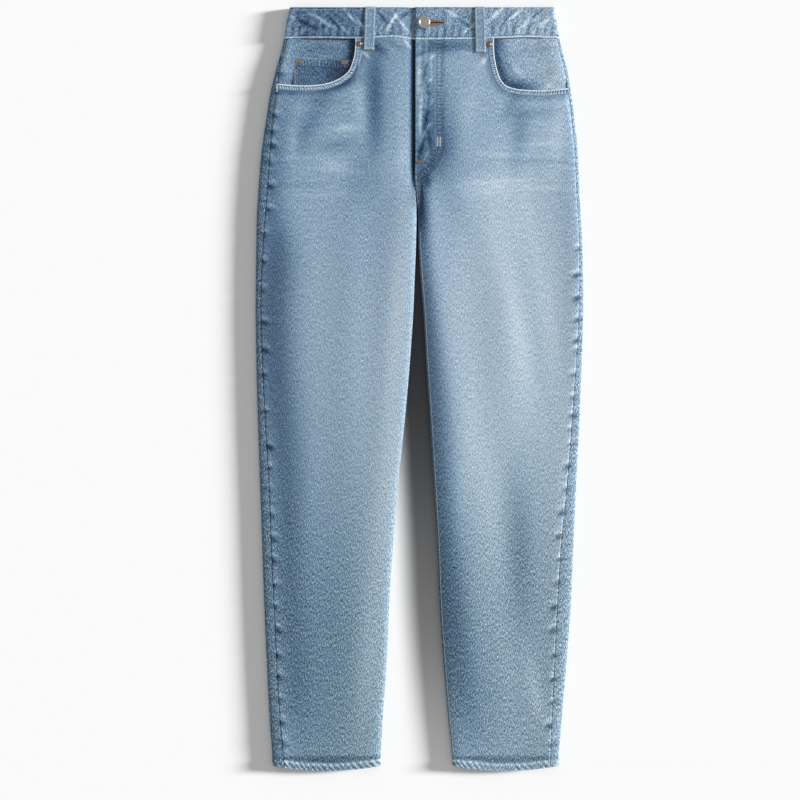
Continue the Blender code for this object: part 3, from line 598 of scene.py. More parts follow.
# Shade along the side towards the wearer's right: how far in, its reach, and its strength, up the leg
SHADE_COLUMNS = ("y", "place", "reach", "strength")
EDGE_SHADE = {
    RIGHT: (
        (-0.490, 0.030, 0.026, 0.04),
        (-0.400, 0.030, 0.026, 0.17),
        (-0.300, 0.030, 0.026, 0.20),
        (-0.100, 0.030, 0.026, 0.24),
        (0.100, 0.022, 0.026, 0.28),
        (0.180, 0.024, 0.024, 0.26),
        (0.240, 0.018, 0.018, 0.17),
        (0.320, 0.018, 0.012, 0.13),
        (0.450, 0.030, 0.030, 0.02),
    ),
    LEFT: (
        (-0.490, 0.026, 0.026, 0.02),
        (-0.400, 0.018, 0.028, 0.20),
        (-0.260, 0.012, 0.024, 0.30),
        (-0.140, 0.009, 0.020, 0.28),
        (-0.020, 0.009, 0.019, 0.29),
        (0.100, 0.007, 0.014, 0.26),
        (0.230, 0.006, 0.010, 0.16),
        (0.450, 0.006, 0.010, 0.00),
    ),
}
BASE_WASH = 0.60
# Pale and dark streaks of the fly: x, y, direction, length, width, strength
FLY_STREAKS = (
    (-0.0015, 0.405, 88, 0.022, 0.0022, 0.16),
    (0.0030, 0.375, 86, 0.030, 0.0020, 0.20),
    (0.0005, 0.345, 92, 0.016, 0.0018, 0.14),
    (0.0055, 0.330, 66, 0.010, 0.0014, 0.24),
    (0.0080, 0.415, 80, 0.016, 0.0022, -0.24),
    (0.0100, 0.392, 94, 0.014, 0.0024, -0.20),
    (0.0090, 0.352, 82, 0.018, 0.0026, -0.26),
    (0.0020, 0.312, 75, 0.014, 0.0028, -0.26),
    (0.0130, 0.325, 98, 0.012, 0.0022, -0.22),
    (0.0150, 0.372, 60, 0.006, 0.0018, 0.18),
    (0.0140, 0.402, 48, 0.006, 0.0016, 0.20),
    (0.0135, 0.343, 52, 0.006, 0.0016, 0.18),
    (0.0090, 0.304, 62, 0.008, 0.0016, 0.18),
    (0.0170, 0.432, 40, 0.008, 0.0022, 0.20),
    (0.0020, 0.436, 20, 0.010, 0.0024, -0.18),
)


def seam_marks(side, x, y):
    """Dark spots and pale ridges where the side seam has drawn the cloth together."""
    away = side * (side_seam_x(side, y) - x)
    spots = np.zeros_like(x)
    pale = np.zeros_like(x)
    rng = np.random.default_rng(31 + side)
    for mark in SEAM_MARKS[side]:
        size, depth, shift = rng.uniform(2.6, 4.6) * MM, rng.uniform(0.6, 1.0), rng.uniform(-4, 4) * MM
        spots += depth * bell(y + 0.25 * away, mark, size) * bell(away, shift, 5.5 * MM)
        pale += bell(y + 0.25 * away, mark + 7 * MM, 3.4 * MM) * bell(away, shift + 3 * MM, 6 * MM)
    fine = ribs(y + 0.3 * away, 9 * MM, 17 + side) * bell(away, 0, 6 * MM)
    return spots, pale, fine


def broad_wash_and_shade(side, x, y):
    """The wash before any seam or crease, with painted shade along the sides that face away from the light.
    """
    wash = BASE_WASH + relief(FADES_AND_SHADE[side], x, y)
    wash -= 0.015 * smooth_step(-y, 0.14, 0.32)
    if side == LEFT:
        wash += 0.06 * smooth_step(y, -0.32, -0.05)
    rows = dict(zip(SHADE_COLUMNS, np.array(EDGE_SHADE[side]).T))
    outer, _ = edge_distances(side, x, y)
    away = outer if side == RIGHT else x - leg_edge(side, "inner", y)
    place, reach, strength = (smooth_curve(y, rows["y"], rows[column]) for column in SHADE_COLUMNS[1:])
    # Painted shade in a band along the leg's side that faces away from the light
    return wash - strength * bell(away, place, reach)


def draw_fly(x, y, height, wash):
    """Adds the fly's stitched curve, its marbling and its edges to the left front."""
    away, along = path_distance(smooth_path(J_PATH, 60), x, y)
    rows = bell(away, J_WIDTH / 2, 0.9 * MM) + bell(away, -J_WIDTH / 2, 0.9 * MM)
    between = smooth_step(J_WIDTH / 2 + 1 * MM - np.abs(away), 0, 2 * MM)
    pucker = ribs(along, 4.2 * MM, 3)
    height += MM * (between * (0.12 * pucker) - 0.22 * rows)
    wash += between * (0.10 * pucker - 0.05) - 0.13 * rows
    # A painted shadow line just outside the fly's stitched curve
    wash -= 0.08 * bell(away, J_WIDTH / 2 + 2.5 * MM, 1.6 * MM)
    in_fly = smooth_step(0.022 - x, 0, 0.004) * smooth_step(y, 0.272, 0.290)
    mottle = ribs(y + 0.5 * x, 11 * MM, 9) * bell(x, 0.012, 0.007)
    mottle += ribs(y - 0.4 * x, 13 * MM, 8) * bell(x, 0.001, 0.005)
    wash += in_fly * (0.035 * mottle - 0.10)
    streaks = relief(FLY_STREAKS, x, y) + 0.13 * bell(x, 0.0005, 0.0032) * smooth_step(y, 0.312, 0.335)
    wash += in_fly * streaks
    height += MM * 0.5 * in_fly * streaks
    lines = bell(x, 0.0088, 0.0022) * smooth_step(y, 0.355, 0.37)
    lines += bell(x, 0.0156, 0.0016) * bell(y, 0.418, 0.022)
    wash += 0.14 * in_fly * lines
    wash += 0.20 * bell(x, FLY_EDGE_X + 0.3 * MM, 1.0 * MM) * smooth_step(y, 0.262, 0.270)
    wash -= 0.26 * bell(x, 0.0105, 0.0050) * bell(y, 0.271, 0.008)
    wash -= 0.30 * bell(x, 0.0030, 0.0016) * bell(y, 0.248, 0.018)


def paint_fly_lap_shadow(x, y, wash):
    """Paints the shadow that the fly casts on the right front where it laps over it."""
    near_fly = smooth_step(x, FLY_EDGE_X - 8 * MM, FLY_EDGE_X - 1 * MM) * smooth_step(y, 0.240, 0.300)
    wash -= 0.22 * near_fly
    gulf = smooth_step(y, 0.252, 0.300) * (1 - 0.20 * smooth_step(y, 0.370, 0.430))
    line = 0.52 * bell(x, FLY_EDGE_X - 2.4 * MM, 3.0 * MM)
    wash -= gulf * (line + 0.08 * bell(x, FLY_EDGE_X - 6 * MM, 4 * MM))


def front_looks(side, x, y):
    """Relief in metres, wash and grain of a front at each point."""
    wash = broad_wash_and_shade(side, x, y)
    grain = 0.40 + 0.26 * smooth_step(-y, 0.02, 0.30)
    spots, pale, fine = seam_marks(side, x, y)
    height = MM * (0.25 * pale - 0.35 * spots + 0.1 * fine)
    wash = wash - 0.40 * spots + 0.14 * pale + 0.05 * fine
    # The hem: slanting ridges below its stitching, and a dark line above it
    level, hem, rope = hem_marks(side, x, y)
    height += MM * hem * (0.28 * rope)
    wash += hem * (0.18 * rope - 0.02) - 0.17 * bell(level, HEM_STITCH_Y + 4.2 * MM, 2.4 * MM)
    wash += 0.22 * bell(level, HEM_STITCH_Y + 0.9 * MM, 1.1 * MM) + 0.14 * bell(level, HEM_END_Y, 1.2 * MM)
    # The shade round the border of the pocket mouth
    near_mouth, _ = path_distance(smooth_path(MOUTHS[side], 40), x, y)
    wash -= (0.15 if side == RIGHT else 0.12) * bell(np.abs(near_mouth), BORDER + 1.5 * MM, 4.5 * MM)
    # A pale line along the inseam
    inner = edge_distances(side, x, y)[1]
    wash += np.where(y <= CROTCH_Y, 0.05 * bell(inner, 2.5 * MM, 1.6 * MM), 0)
    if side == LEFT:
        draw_fly(x, y, height, wash)
    else:
        paint_fly_lap_shadow(x, y, wash)
    return height, np.clip(wash, *WASH_LIMITS), grain


def fan_grid(side, y_rows):
    """The front's plan: rows up the leg, then rows that fan out to the waist seam and the pocket mouth."""
    start = inner_limit(side, y_rows, True)[:, None]
    away = front_columns(side, y_rows)
    count = away.shape[1]
    mouth = mouth_line(side, BORDER, 29)
    start_x = inner_limit(side, np.array([BAND_TOP_Y]), True)[0]
    fly_x = start_x + side * SEAMED_COLUMNS
    rest = np.linspace(fly_x[-1], mouth[0, 0], count - 29 - 30 + 2)[1:]
    top_x = np.concatenate([fly_x, rest, mouth[1:, 0]])
    top_y = np.concatenate([waist_seam_y(np.concatenate([fly_x, rest])) - SEAM_GAP / 2, mouth[1:, 1]])
    on_mouth = np.arange(1, count) >= count - 28
    steps = np.abs(np.diff(top_x)) + 0.35 * np.abs(np.diff(top_y)) * on_mouth
    share = np.concatenate([[0], np.cumsum(steps)]) / np.sum(steps)
    gather = smooth_step(y_rows, 0.290, BODY_TOP_Y)[:, None]
    away = away * (1 - gather) + share * away[:, -1:] * gather
    x = start + side * away
    y = np.repeat(y_rows[:, None], count, axis=1)
    y = y + hem_bow(side, x, y)
    return x, y, top_x, top_y


def grid_quads(index):
    """The faces between the points of a grid, from the points' numbers."""
    return np.stack([index[:-1, :-1], index[:-1, 1:], index[1:, 1:], index[1:, :-1]], axis=-1).reshape(-1, 4)


def add_object(mesh, material):
    """Puts a smooth mesh of one material into the scene."""
    mesh.shade_smooth()
    mesh.materials.append(material)
    obj = bpy.data.objects.new(mesh.name, mesh)
    bpy.context.scene.collection.objects.link(obj)
    return obj


def add_piece(name, grids, thickness, material, thin=None):
    """One cloth piece from grids of points, each with its wash, grain and plan in metres."""
    points, faces, uvs, wash, grain, weights = [], [], [], [], [], []
    first = 0
    for grid in grids:
        rows, columns = grid["points"].shape[:2]
        index = first + np.arange(rows * columns).reshape(rows, columns)
        faces.append(grid_quads(index))
        points.append(grid["points"].reshape(-1, 3))
        steps = np.linalg.norm(np.diff(grid["points"], axis=1), axis=2)
        along = np.concatenate([np.zeros((rows, 1)), np.cumsum(steps, axis=1)], axis=1)
        along = along + grid["points"][:, :1, 0]
        uvs.append(np.stack([along, grid.get("plan", grid["points"][..., 1])], axis=-1).reshape(-1, 2))
        wash.append((grid["wash"] + np.zeros((rows, columns))).reshape(-1))
        grain.append((grid["grain"] + np.zeros((rows, columns))).reshape(-1))
        weights.append((grid.get("thick", 1.0) + np.zeros((rows, columns))).reshape(-1))
        first += rows * columns
    points, faces, uvs = np.concatenate(points), np.concatenate(faces), np.concatenate(uvs)
    mesh = bpy.data.meshes.new(name)
    mesh.vertices.add(len(points))
    mesh.vertices.foreach_set("co", points.reshape(-1).astype(np.float32))
    mesh.loops.add(faces.size)
    mesh.loops.foreach_set("vertex_index", faces.reshape(-1).astype(np.int32))
    mesh.polygons.add(len(faces))
    mesh.polygons.foreach_set("loop_start", (np.arange(len(faces)) * 4).astype(np.int32))
    mesh.update(calc_edges=True)
    layer = mesh.uv_layers.new(name="cloth")
    layer.data.foreach_set("uv", uvs[faces.reshape(-1)].reshape(-1).astype(np.float32))
    for attribute, values in (("wash", wash), ("grain", grain)):
        mesh.attributes.new(attribute, "FLOAT", "POINT").data.foreach_set(
            "value", np.concatenate(values).astype(np.float32)
        )
    obj = add_object(mesh, material)
    wall = obj.modifiers.new("wall", "SOLIDIFY")
    wall.thickness = thickness
    wall.offset = 0.0
    wall.use_even_offset = False
    if thin is not None:
        group = obj.vertex_groups.new(name="thick")
        levels = np.round(np.concatenate(weights), 2)
        for level in np.unique(levels):
            group.add(np.flatnonzero(levels == level).tolist(), float(level), "REPLACE")
        wall.vertex_group = "thick"
        wall.thickness_vertex_group = thin / thickness
    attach(obj, "root")
    return obj


def stand_inner_edge(points, y_rows, edge, beside):
    """Stands the inner edge of a leg's sheet upright, so that its two layers meet in a fold."""
    rows = np.flatnonzero(y_rows <= CROTCH_Y)
    up = 1 if points[0, beside + (beside - edge), 2] > EDGE_MID else -1
    points[rows, edge, 0] = points[rows, beside, 0]
    clear = crotch_ease(y_rows[rows])
    points[rows, edge, 2] = EDGE_MID + up * clear
    natural = np.abs(points[rows, beside, 2] - EDGE_MID)
    points[rows, beside, 2] = EDGE_MID + up * np.maximum(natural, clear + 0.3 * MM)
    return points


def raise_hem(side, x, y, points):
    """Lifts the thicker hem off what it lies on, and gives its share at each point."""
    hem = hem_cloth(y - hem_bow(side, x, y))
    points[..., 2] += (HEM_THICK - CLOTH) / 2 * hem
    return hem


def front_piece(name, side, material):
    """A front from hem to waist seam, with the border of its pocket mouth."""
    y_rows = leg_rows(2.4 * MM, 1.3 * MM if side == LEFT else 2.0 * MM)
    x, y, top_x, top_y = fan_grid(side, y_rows)
    steps = 52 if side == LEFT else 36
    for step in np.arange(1, steps + 1) / steps:
        x = np.vstack([x, x[len(y_rows) - 1] * (1 - step) + top_x * step])
        y = np.vstack([y, BODY_TOP_Y * (1 - step) + top_y * step])
    height, wash, grain = front_looks(side, x, y)
    quiet = smooth_step(edge_distances(side, x, y)[1], 0, 3 * MM)
    quiet = quiet * smooth_step(waist_seam_y(x) - y, 0, 2 * MM)
    offset = height * quiet + (fly_dip(x, y) if side == RIGHT else 0.0)
    points = sheet_points(top_height, side, x, y, offset)
    points = stand_inner_edge(points, y_rows, 0, 1)
    hem = raise_hem(side, x, y, points)
    body = {"points": points, "wash": wash, "grain": grain, "thick": hem}
    return add_piece(name, [body, mouth_border(side)], HEM_THICK, material, thin=CLOTH)


def mouth_border(side):
    """The stitched border of a pocket mouth: short ridges between its two rows of stitching."""
    count = 230
    depths = np.array([0, 0.5, 1.0, 1.6, 2.3, 3.1, 3.9, 4.7, 5.4, 6.0, 6.6, 7.2, 7.6]) * MM
    lines = [mouth_line(side, depth, count) for depth in depths]
    x = np.array([line[:, 0] for line in lines])
    y = np.array([line[:, 1] for line in lines])
    along = np.linspace(0, 0.178, count)[None, :] + 0 * x
    depth = depths[:, None] + 0 * x
    between = smooth_step(depth, 1.0 * MM, 2.2 * MM) * (1 - smooth_step(depth, 5.6 * MM, 6.6 * MM))
    strength = smooth_step(along, 0.02, 0.05) * 0.6 + 0.4
    rib = ribs(along + 0.25 * depth, 4.0 * MM, 21 + side)
    height = MM * (0.26 * rib * between * strength - 0.25 * bell(depth, 6.4 * MM, 0.7 * MM) + 0.1)
    wash = 0.60 + 0.24 * rib * between * strength + 0.34 * (1 - smooth_step(depth, 0.9 * MM, 1.9 * MM))
    # The dark line just past the second row of stitching is painted shadow at the border's foot
    wash -= 0.20 * bell(depth, 2.4 * MM, 0.7 * MM) + 0.22 * bell(depth, 6.8 * MM, 0.9 * MM)
    points = sheet_points(top_height, side, x, y, height)
    return {"points": points, "wash": wash, "grain": 0.45, "thick": 0.0}


def wrap_section(side, y_rows):
    """Columns of a back from the side seam round the outer fold to the centre, and which lie on top."""
    outer = leg_edge(side, "outer", y_rows) - side * CLOTH / 2
    seam_in = leg_edge(side, "seam_in", y_rows) - (SEAM_GAP + CLOTH) / 2
    shares = np.array([1, 0.93, 0.85, 0.76, 0.66, 0.56, 0.46, 0.37, 0.28, 0.20, 0.12, 0.06, 0.02, 0])
    over = seam_in[:, None] * shares
    under = np.array([0.1, 0.7, 1.5, 2.4, 3.8, 5.5, 7.5, 10.0]) * MM + np.zeros((len(y_rows), 1))
    width = side * (outer - inner_limit(side, y_rows, False))
    close = np.array([10.0, 7.5, 5.5, 3.8, 2.4, 1.4, 0.7, 0.17, 0.0]) * MM
    wide = np.array([14.0, 12.0, 10.0, 8.0, 6.5, 5.0, 3.5, 1.5, 0.0]) * MM
    near = width[:, None] - np.where((y_rows <= CROTCH_Y)[:, None], close, wide)
    away = np.hstack([over, under, spread(under[:, -1], near[:, 0], 16), near])
    return outer[:, None] - side * away, np.arange(away.shape[1]) < over.shape[1]


def yoke_y(side, x):
    """Height of the seam between a back and its yoke."""
    across = np.clip(side * (x - CROTCH_X) / YOKE_HALF_WIDTH, 0, 1)
    return YOKE_CENTRE_Y + (YOKE_SIDE_Y - YOKE_CENTRE_Y) * across


def yoke_line_y(side):
    """The yoke seam's height at each column of a back."""
    return yoke_y(side, wrap_section(side, np.array([YOKE_READ_Y]))[0][0])


def back_looks(side, x, y, on_top):
    """Relief, wash and grain of a back, with marks only where it shows beside the side seam."""
    spots, pale, fine = seam_marks(side, x, y)
    top = on_top[None, :] + 0.0 * x
    height = MM * top * (0.2 * pale - 0.3 * spots + 0.1 * fine)
    level, hem, rope = hem_marks(side, x, y)
    # The strip beside the side seam is painted darker on the wearer's right, as shade on the side away from
    # the light, and a little paler on the left
    wash = 0.55 + (0.03 if side == LEFT else -0.11) * top
    wash = wash - 0.17 * spots * top + 0.06 * pale * top + 0.03 * fine * top
    wash += hem * (0.10 * rope + 0.03) - 0.10 * bell(level, HEM_STITCH_Y + 3.5 * MM, 2.2 * MM)
    wash += (1 - top) * relief(((side * 0.10, 0.10, 90, 0.20, 0.05, 0.08),), x, y)
    return height, np.clip(wash, *WASH_LIMITS), 0.8 + 0 * x


def wrapped_points(side, x, y, on_top, offset):
    """Points of a sheet that comes round the outer fold from below."""
    upper = sheet_points(top_height, side, x, y, offset)
    lower = sheet_points(under_height, side, x, y)
    return np.where(on_top[None, :, None], upper, lower)


def back_piece(name, side, material):
    """A back from hem to yoke, round the outer fold to the side seam."""
    y_rows = leg_rows(2.6 * MM, 2.6 * MM)
    x, on_top = wrap_section(side, y_rows)
    y = np.repeat(y_rows[:, None], x.shape[1], axis=1)
    y = y + hem_bow(side, x, y)
    top_y = yoke_line_y(side) - SEAM_GAP / 2
    for step in np.arange(1, 11) / 10:
        level = BODY_TOP_Y * (1 - step) + top_y * step
        x = np.vstack([x, np.diag(wrap_section(side, level)[0])])
        y = np.vstack([y, level])
    height, wash, grain = back_looks(side, x, y, on_top)
    height = height * smooth_step(edge_distances(side, x, y)[0], 0, 2 * MM)
    points = wrapped_points(side, x, y, on_top, height)
    points = stand_inner_edge(points, y_rows, -1, -2)
    hem = raise_hem(side, x, y, points)
    body = {"points": points, "wash": wash, "grain": grain, "thick": hem}
    return add_piece(name, [body], HEM_THICK, material, thin=CLOTH)


def yoke_piece(name, side, material):
    """A yoke between the back and the waistband."""
    foot_y = yoke_line_y(side) + SEAM_GAP / 2
    rows = []
    for step in np.linspace(0, 1, 22):
        level = foot_y * (1 - step) + (BACK_SEAM_Y - SEAM_GAP / 2) * step
        row_x, on_top = wrap_section(side, level)
        rows.append((np.diag(row_x), level))
    x = np.array([row[0] for row in rows])
    y = np.array([row[1] for row in rows])
    height, wash, grain = back_looks(side, x, y, on_top)
    points = wrapped_points(side, x, y, on_top, 0 * height)
    return add_piece(name, [{"points": points, "wash": wash, "grain": grain}], CLOTH, material)


def facing_offset(side, x, y):
    """Down under the mouth, and up again to meet the yoke at the side seam."""
    depth = UNDER_LAYER
    if side == RIGHT:
        depth += COIN_CLOTH + SEAM_GAP
    beside = 1 - smooth_step(side * (side_seam_x(side, y) - x), 1 * MM, 34 * MM)
    mouth_end = MOUTHS[side][-1][1]
    above = smooth_step(y, mouth_end + 1.5 * MM, mouth_end + 12 * MM)
    return -depth * (1 - beside * above)


FACING_CREASES = {
    RIGHT: (
        (-0.100, 0.446, -35, 0.010, 0.0022, 0.00020),
        (-0.140, 0.440, 5, 0.040, 0.0040, -0.00015),
        (-0.170, 0.436, 75, 0.018, 0.0030, 0.00020),
    ),
    LEFT: (
        (0.106, 0.432, -65, 0.012, 0.0026, 0.00030),
        (0.115, 0.420, -50, 0.014, 0.0026, -0.00028),
        (0.127, 0.412, -38, 0.014, 0.0030, 0.00025),
        (0.172, 0.400, 40, 0.014, 0.0034, 0.00022),
        (0.150, 0.440, 8, 0.040, 0.0044, -0.00015),
    ),
}


def facing_piece(name, side, material):
    """The cloth that shows in a pocket mouth."""
    rows = np.linspace(0, 1, 60)[:, None]
    columns = np.linspace(0, 1, 84)
    inner_x = MOUTHS[side][0][0] - side * FACING_UNDER
    guess_y = FACING_FOOT_Y + rows * (BAND_FOOT_Y - FACING_FOOT_Y) + 0 * columns
    x = inner_x + columns * (side_seam_x(side, guess_y, FACING_SIDE_EASE) - inner_x)
    top = waist_seam_y(x) - SEAM_GAP / 2
    y = FACING_FOOT_Y + rows * (top - FACING_FOOT_Y)
    creases = relief(FACING_CREASES[side], x, y) * smooth_step(top - y, 0, 4 * MM)
    points = sheet_points(top_height, side, x, y, facing_offset(side, x, y) + creases)
    near_mouth, _ = path_distance(smooth_path(MOUTHS[side], 40), x, y)
    wash = (0.49 if side == RIGHT else 0.67) + 420 * creases
    # Painted shade on the facing under the mouth's edge
    near = bell(near_mouth, 0, 12 * MM) * (1 - smooth_step(side * x, 0.125, 0.170))
    wash -= (0.28 if side == RIGHT else 0.44) * near
    wash += 0.05 * smooth_step(side * x, 0.150, 0.180)
    spots, pale, _ = seam_marks(side, x, y)
    wash = wash - 0.17 * spots + 0.06 * pale
    grid = {"points": points, "wash": wash, "grain": 0.52}
    return add_piece(name, [grid], CLOTH, material)


def coin_piece(material):
    """The coin pocket, with its hem and its stitched side."""
    columns = np.linspace(0, 1, 66)
    rows = np.linspace(0, 1, 40)[:, None]
    x = COIN_INNER_X + columns * (COIN_OUTER_X - COIN_INNER_X) + 0 * rows
    top = COIN_TOP_INNER_Y + columns * (COIN_TOP_OUTER_Y - COIN_TOP_INNER_Y)
    y = COIN_FOOT_Y + rows * (top - COIN_FOOT_Y)
    down = top - y
    hem = 1 - smooth_step(down, 9.5 * MM, 10.5 * MM)
    rib = ribs(x, 4.4 * MM, 12) * hem * smooth_step(down, 1.2 * MM, 2.4 * MM)
    side_band = 1 - smooth_step(x - COIN_OUTER_X, 3.5 * MM, 4.5 * MM)
    height = MM * 0.10 * rib
    wash = 0.37 + 0.06 * hem + 0.10 * rib - 0.06 * bell(down, 10.6 * MM, 1.2 * MM)
    wash += 0.16 * bell(down, 0, 1.1 * MM) + 0.14 * bell(x, COIN_OUTER_X, 1.0 * MM)
    wash += 0.06 * side_band - 0.06 * bell(x, COIN_OUTER_X + 4.8 * MM, 1.0 * MM)
    # Painted shade towards the pocket's inner end, under the mouth's curved edge
    wash -= 0.22 * smooth_step(x, -0.135, -0.095)
    offset = -(CLOTH / 2 + SEAM_GAP + LAYER_EASE / 2 + COIN_CLOTH / 2)
    points = sheet_points(top_height, RIGHT, x, y, offset + height)
    grid = {"points": points, "wash": wash, "grain": 0.55}
    return add_piece("coin_pocket_cloth", [grid], COIN_CLOTH, material)


def back_pocket_piece(name, side, material):
    """A plain five-sided pocket under the back."""
    inner_top, outer_top, outer_foot, point, inner_foot = BACK_POCKET
    columns = np.linspace(0, 1, 31)
    rows = np.linspace(0, 1, 36)[:, None]
    top_x = np.interp(columns, [0, 1], [inner_top[0], outer_top[0]])
    top_y = np.interp(columns, [0, 1], [inner_top[1], outer_top[1]])
    foot_x = np.interp(columns, [0, 0.5, 1], [inner_foot[0], point[0], outer_foot[0]])
    foot_y = np.interp(columns, [0, 0.5, 1], [inner_foot[1], point[1], outer_foot[1]])
    x = side * (foot_x + rows * (top_x - foot_x))
    y = foot_y + rows * (top_y - foot_y)
    points = np.stack([x, y, np.full_like(x, CLOTH / 2)], axis=-1)
    wash = 0.60 + 0.08 * bell(columns, 0.5, 0.3) + 0 * x
    return add_piece(name, [{"points": points, "wash": wash, "grain": 0.8}], CLOTH, material)


def band_top_height(x, under_end):
    """Height of the band's front: one end dips under the other, which laps over it."""
    if under_end:
        dip = smooth_step(x, FLY_EDGE_X - 22 * MM, FLY_EDGE_X - 3 * MM)
        return BAND_FRONT_MID + (BAND_UNDER_MID - BAND_FRONT_MID) * dip
    lap = 1 - smooth_step(x, BAND_UNDERLAP_X + 2 * MM, BAND_UNDERLAP_X + 34 * MM)
    return BAND_FRONT_MID + (BAND_OVER_MID - BAND_FRONT_MID) * lap


# Creases across the waistband: x, y, direction, length, width, height
BAND_CREASES = (
    (-0.090, 0.4840, -48, 0.0140, 0.0017, 0.00040),
    (-0.110, 0.4760, -40, 0.0120, 0.0020, -0.00035),
    (-0.128, 0.4800, -32, 0.0180, 0.0022, 0.00035),
    (-0.150, 0.4760, -25, 0.0160, 0.0024, -0.00035),
    (-0.165, 0.4830, -30, 0.0100, 0.0020, 0.00030),
    (-0.101, 0.4700, -45, 0.0110, 0.0017, 0.00032),
    (-0.075, 0.4720, -55, 0.0120, 0.0016, 0.00035),
    (-0.048, 0.4830, -50, 0.0120, 0.0020, -0.00035),
    (-0.036, 0.4780, 58, 0.0140, 0.0020, 0.00038),
    (-0.024, 0.4760, -52, 0.0150, 0.0018, 0.00035),
    (-0.017, 0.4880, 40, 0.0080, 0.0022, -0.00030),
    (0.045, 0.4860, -30, 0.0160, 0.0022, 0.00035),
    (0.058, 0.4760, -40, 0.0120, 0.0022, -0.00035),
    (0.066, 0.4700, 35, 0.0110, 0.0018, 0.00030),
    (0.098, 0.4860, 42, 0.0150, 0.0020, 0.00036),
    (0.112, 0.4790, 50, 0.0130, 0.0018, -0.00036),
    (0.122, 0.4850, 38, 0.0150, 0.0020, 0.00036),
    (0.138, 0.4760, 45, 0.0130, 0.0022, 0.00034),
    (0.150, 0.4860, 40, 0.0120, 0.0020, -0.00036),
    (0.163, 0.4770, 35, 0.0120, 0.0022, 0.00030),
)


def band_looks(x, y, foot_y):
    """Relief and wash of the waistband."""
    up = y - foot_y
    down = BAND_TOP_Y - y
    creases = relief(BAND_CREASES, x, y)
    low = smooth_step(up, 1.5 * MM, 4 * MM) * (1 - smooth_step(up, 12 * MM, 19 * MM))
    puckers = np.minimum(ribs(x + 0.12 * up, 9.6 * MM, 41) + 0.3, 0.3)
    top_ribs = ribs(x, 6 * MM, 43) * bell(down, 3.6 * MM, 2.6 * MM)
    edge = bell(up, 0.9 * MM, 1.3 * MM)
    height = creases + MM * (0.22 * puckers * low + 0.08 * top_ribs + 0.18 * edge)
    places = (-0.178, -0.168, -0.155, -0.085, -0.060, 0.0, 0.060, 0.090, 0.172)
    tone = np.interp(x, places, (0.62, 0.52, 0.38, 0.40, 0.52, 0.54, 0.54, 0.60, 0.66))
    wash = tone + 850 * creases + 0.16 * puckers * low + 0.05 * top_ribs + 0.34 * edge
    wash -= 0.14 * bell(up, 3.0 * MM, 0.9 * MM)
    wash -= 0.08 * bell(down, 0, 1.2 * MM)
    return height * smooth_step(up, 0, 1 * MM), np.clip(wash, 0.08, 0.95)


def band_row(share):
    """One line round the waistband at this share of its height, from the upper end to the lower."""
    nominal_y = BAND_FOOT_Y + share * (BAND_TOP_Y - BAND_FOOT_Y)
    half = BAND_CLOTH / 2
    ends = {side: leg_edge(side, "outer", np.array(nominal_y)) - side * half for side in LEGS}
    turn = np.radians([68, 56, 45, 34, 22, 11, 0, -11, -22, -34, -45, -56, -68, -80, -90])
    flat_left = ends[LEFT] - BAND_FOLD
    flat_right = ends[RIGHT] + BAND_FOLD
    fine_x = 70 * MM
    over_x = np.concatenate([np.linspace(FLY_EDGE_X, fine_x, 66), np.linspace(fine_x, flat_left, 92)[1:]])
    dip_x = FLY_EDGE_X - 24 * MM
    under_end = np.linspace(dip_x, BAND_UNDERLAP_X, 34)[1:]
    under_x = np.concatenate([np.linspace(flat_right, dip_x, 124), under_end])
    back_low = CLOTH / 2 + half
    middle = (BAND_FRONT_MID + back_low) / 2
    swing = (BAND_FRONT_MID - back_low) / 2
    fold_left_x = flat_left + BAND_FOLD * np.cos(turn)
    fold_right_x = flat_right - BAND_FOLD * np.cos(turn[::-1])
    back_x = np.linspace(flat_left, flat_right, 60)[1:-1]
    inboard = smooth_step(np.minimum(flat_left - back_x, back_x - flat_right), 6 * MM, 30 * MM)
    back_z = back_low + (BAND_BACK_MID - back_low) * inboard
    x = np.concatenate([over_x, fold_left_x, back_x, fold_right_x, under_x])
    z = np.concatenate(
        [
            band_top_height(over_x, False),
            middle + swing * np.sin(turn),
            back_z,
            middle + swing * np.sin(turn[::-1]),
            band_top_height(under_x, True),
        ]
    )
    front = np.zeros(len(x))
    front[: len(over_x)] = 1
    front[-len(under_x) :] = 1
    foot_y = np.where(front > 0, waist_seam_y(x), BACK_SEAM_Y) + SEAM_GAP / 2 + BAND_FOOT_EASE
    y = foot_y + share * (BAND_TOP_Y - foot_y)
    height, wash = band_looks(x, y, foot_y)
    return np.stack([x, y, z + height * front], axis=-1), wash


def waistband_piece(material):
    """The waistband in one strip, with the button's hole."""
    rows = [band_row(share) for share in np.linspace(0, 1, 40)]
    points = np.array([row[0] for row in rows])
    wash = np.array([row[1] for row in rows])
    grid = {"points": points, "wash": wash, "grain": 0.62}
    band = add_piece("waistband_cloth", [grid], BAND_CLOTH, material)
    foot = BAND_OVER_MID - BAND_CLOTH / 2 - SEAM_GAP / 2
    cut_hole(band, foot, SHANK_RADIUS + 0.5 * MM)
    return band


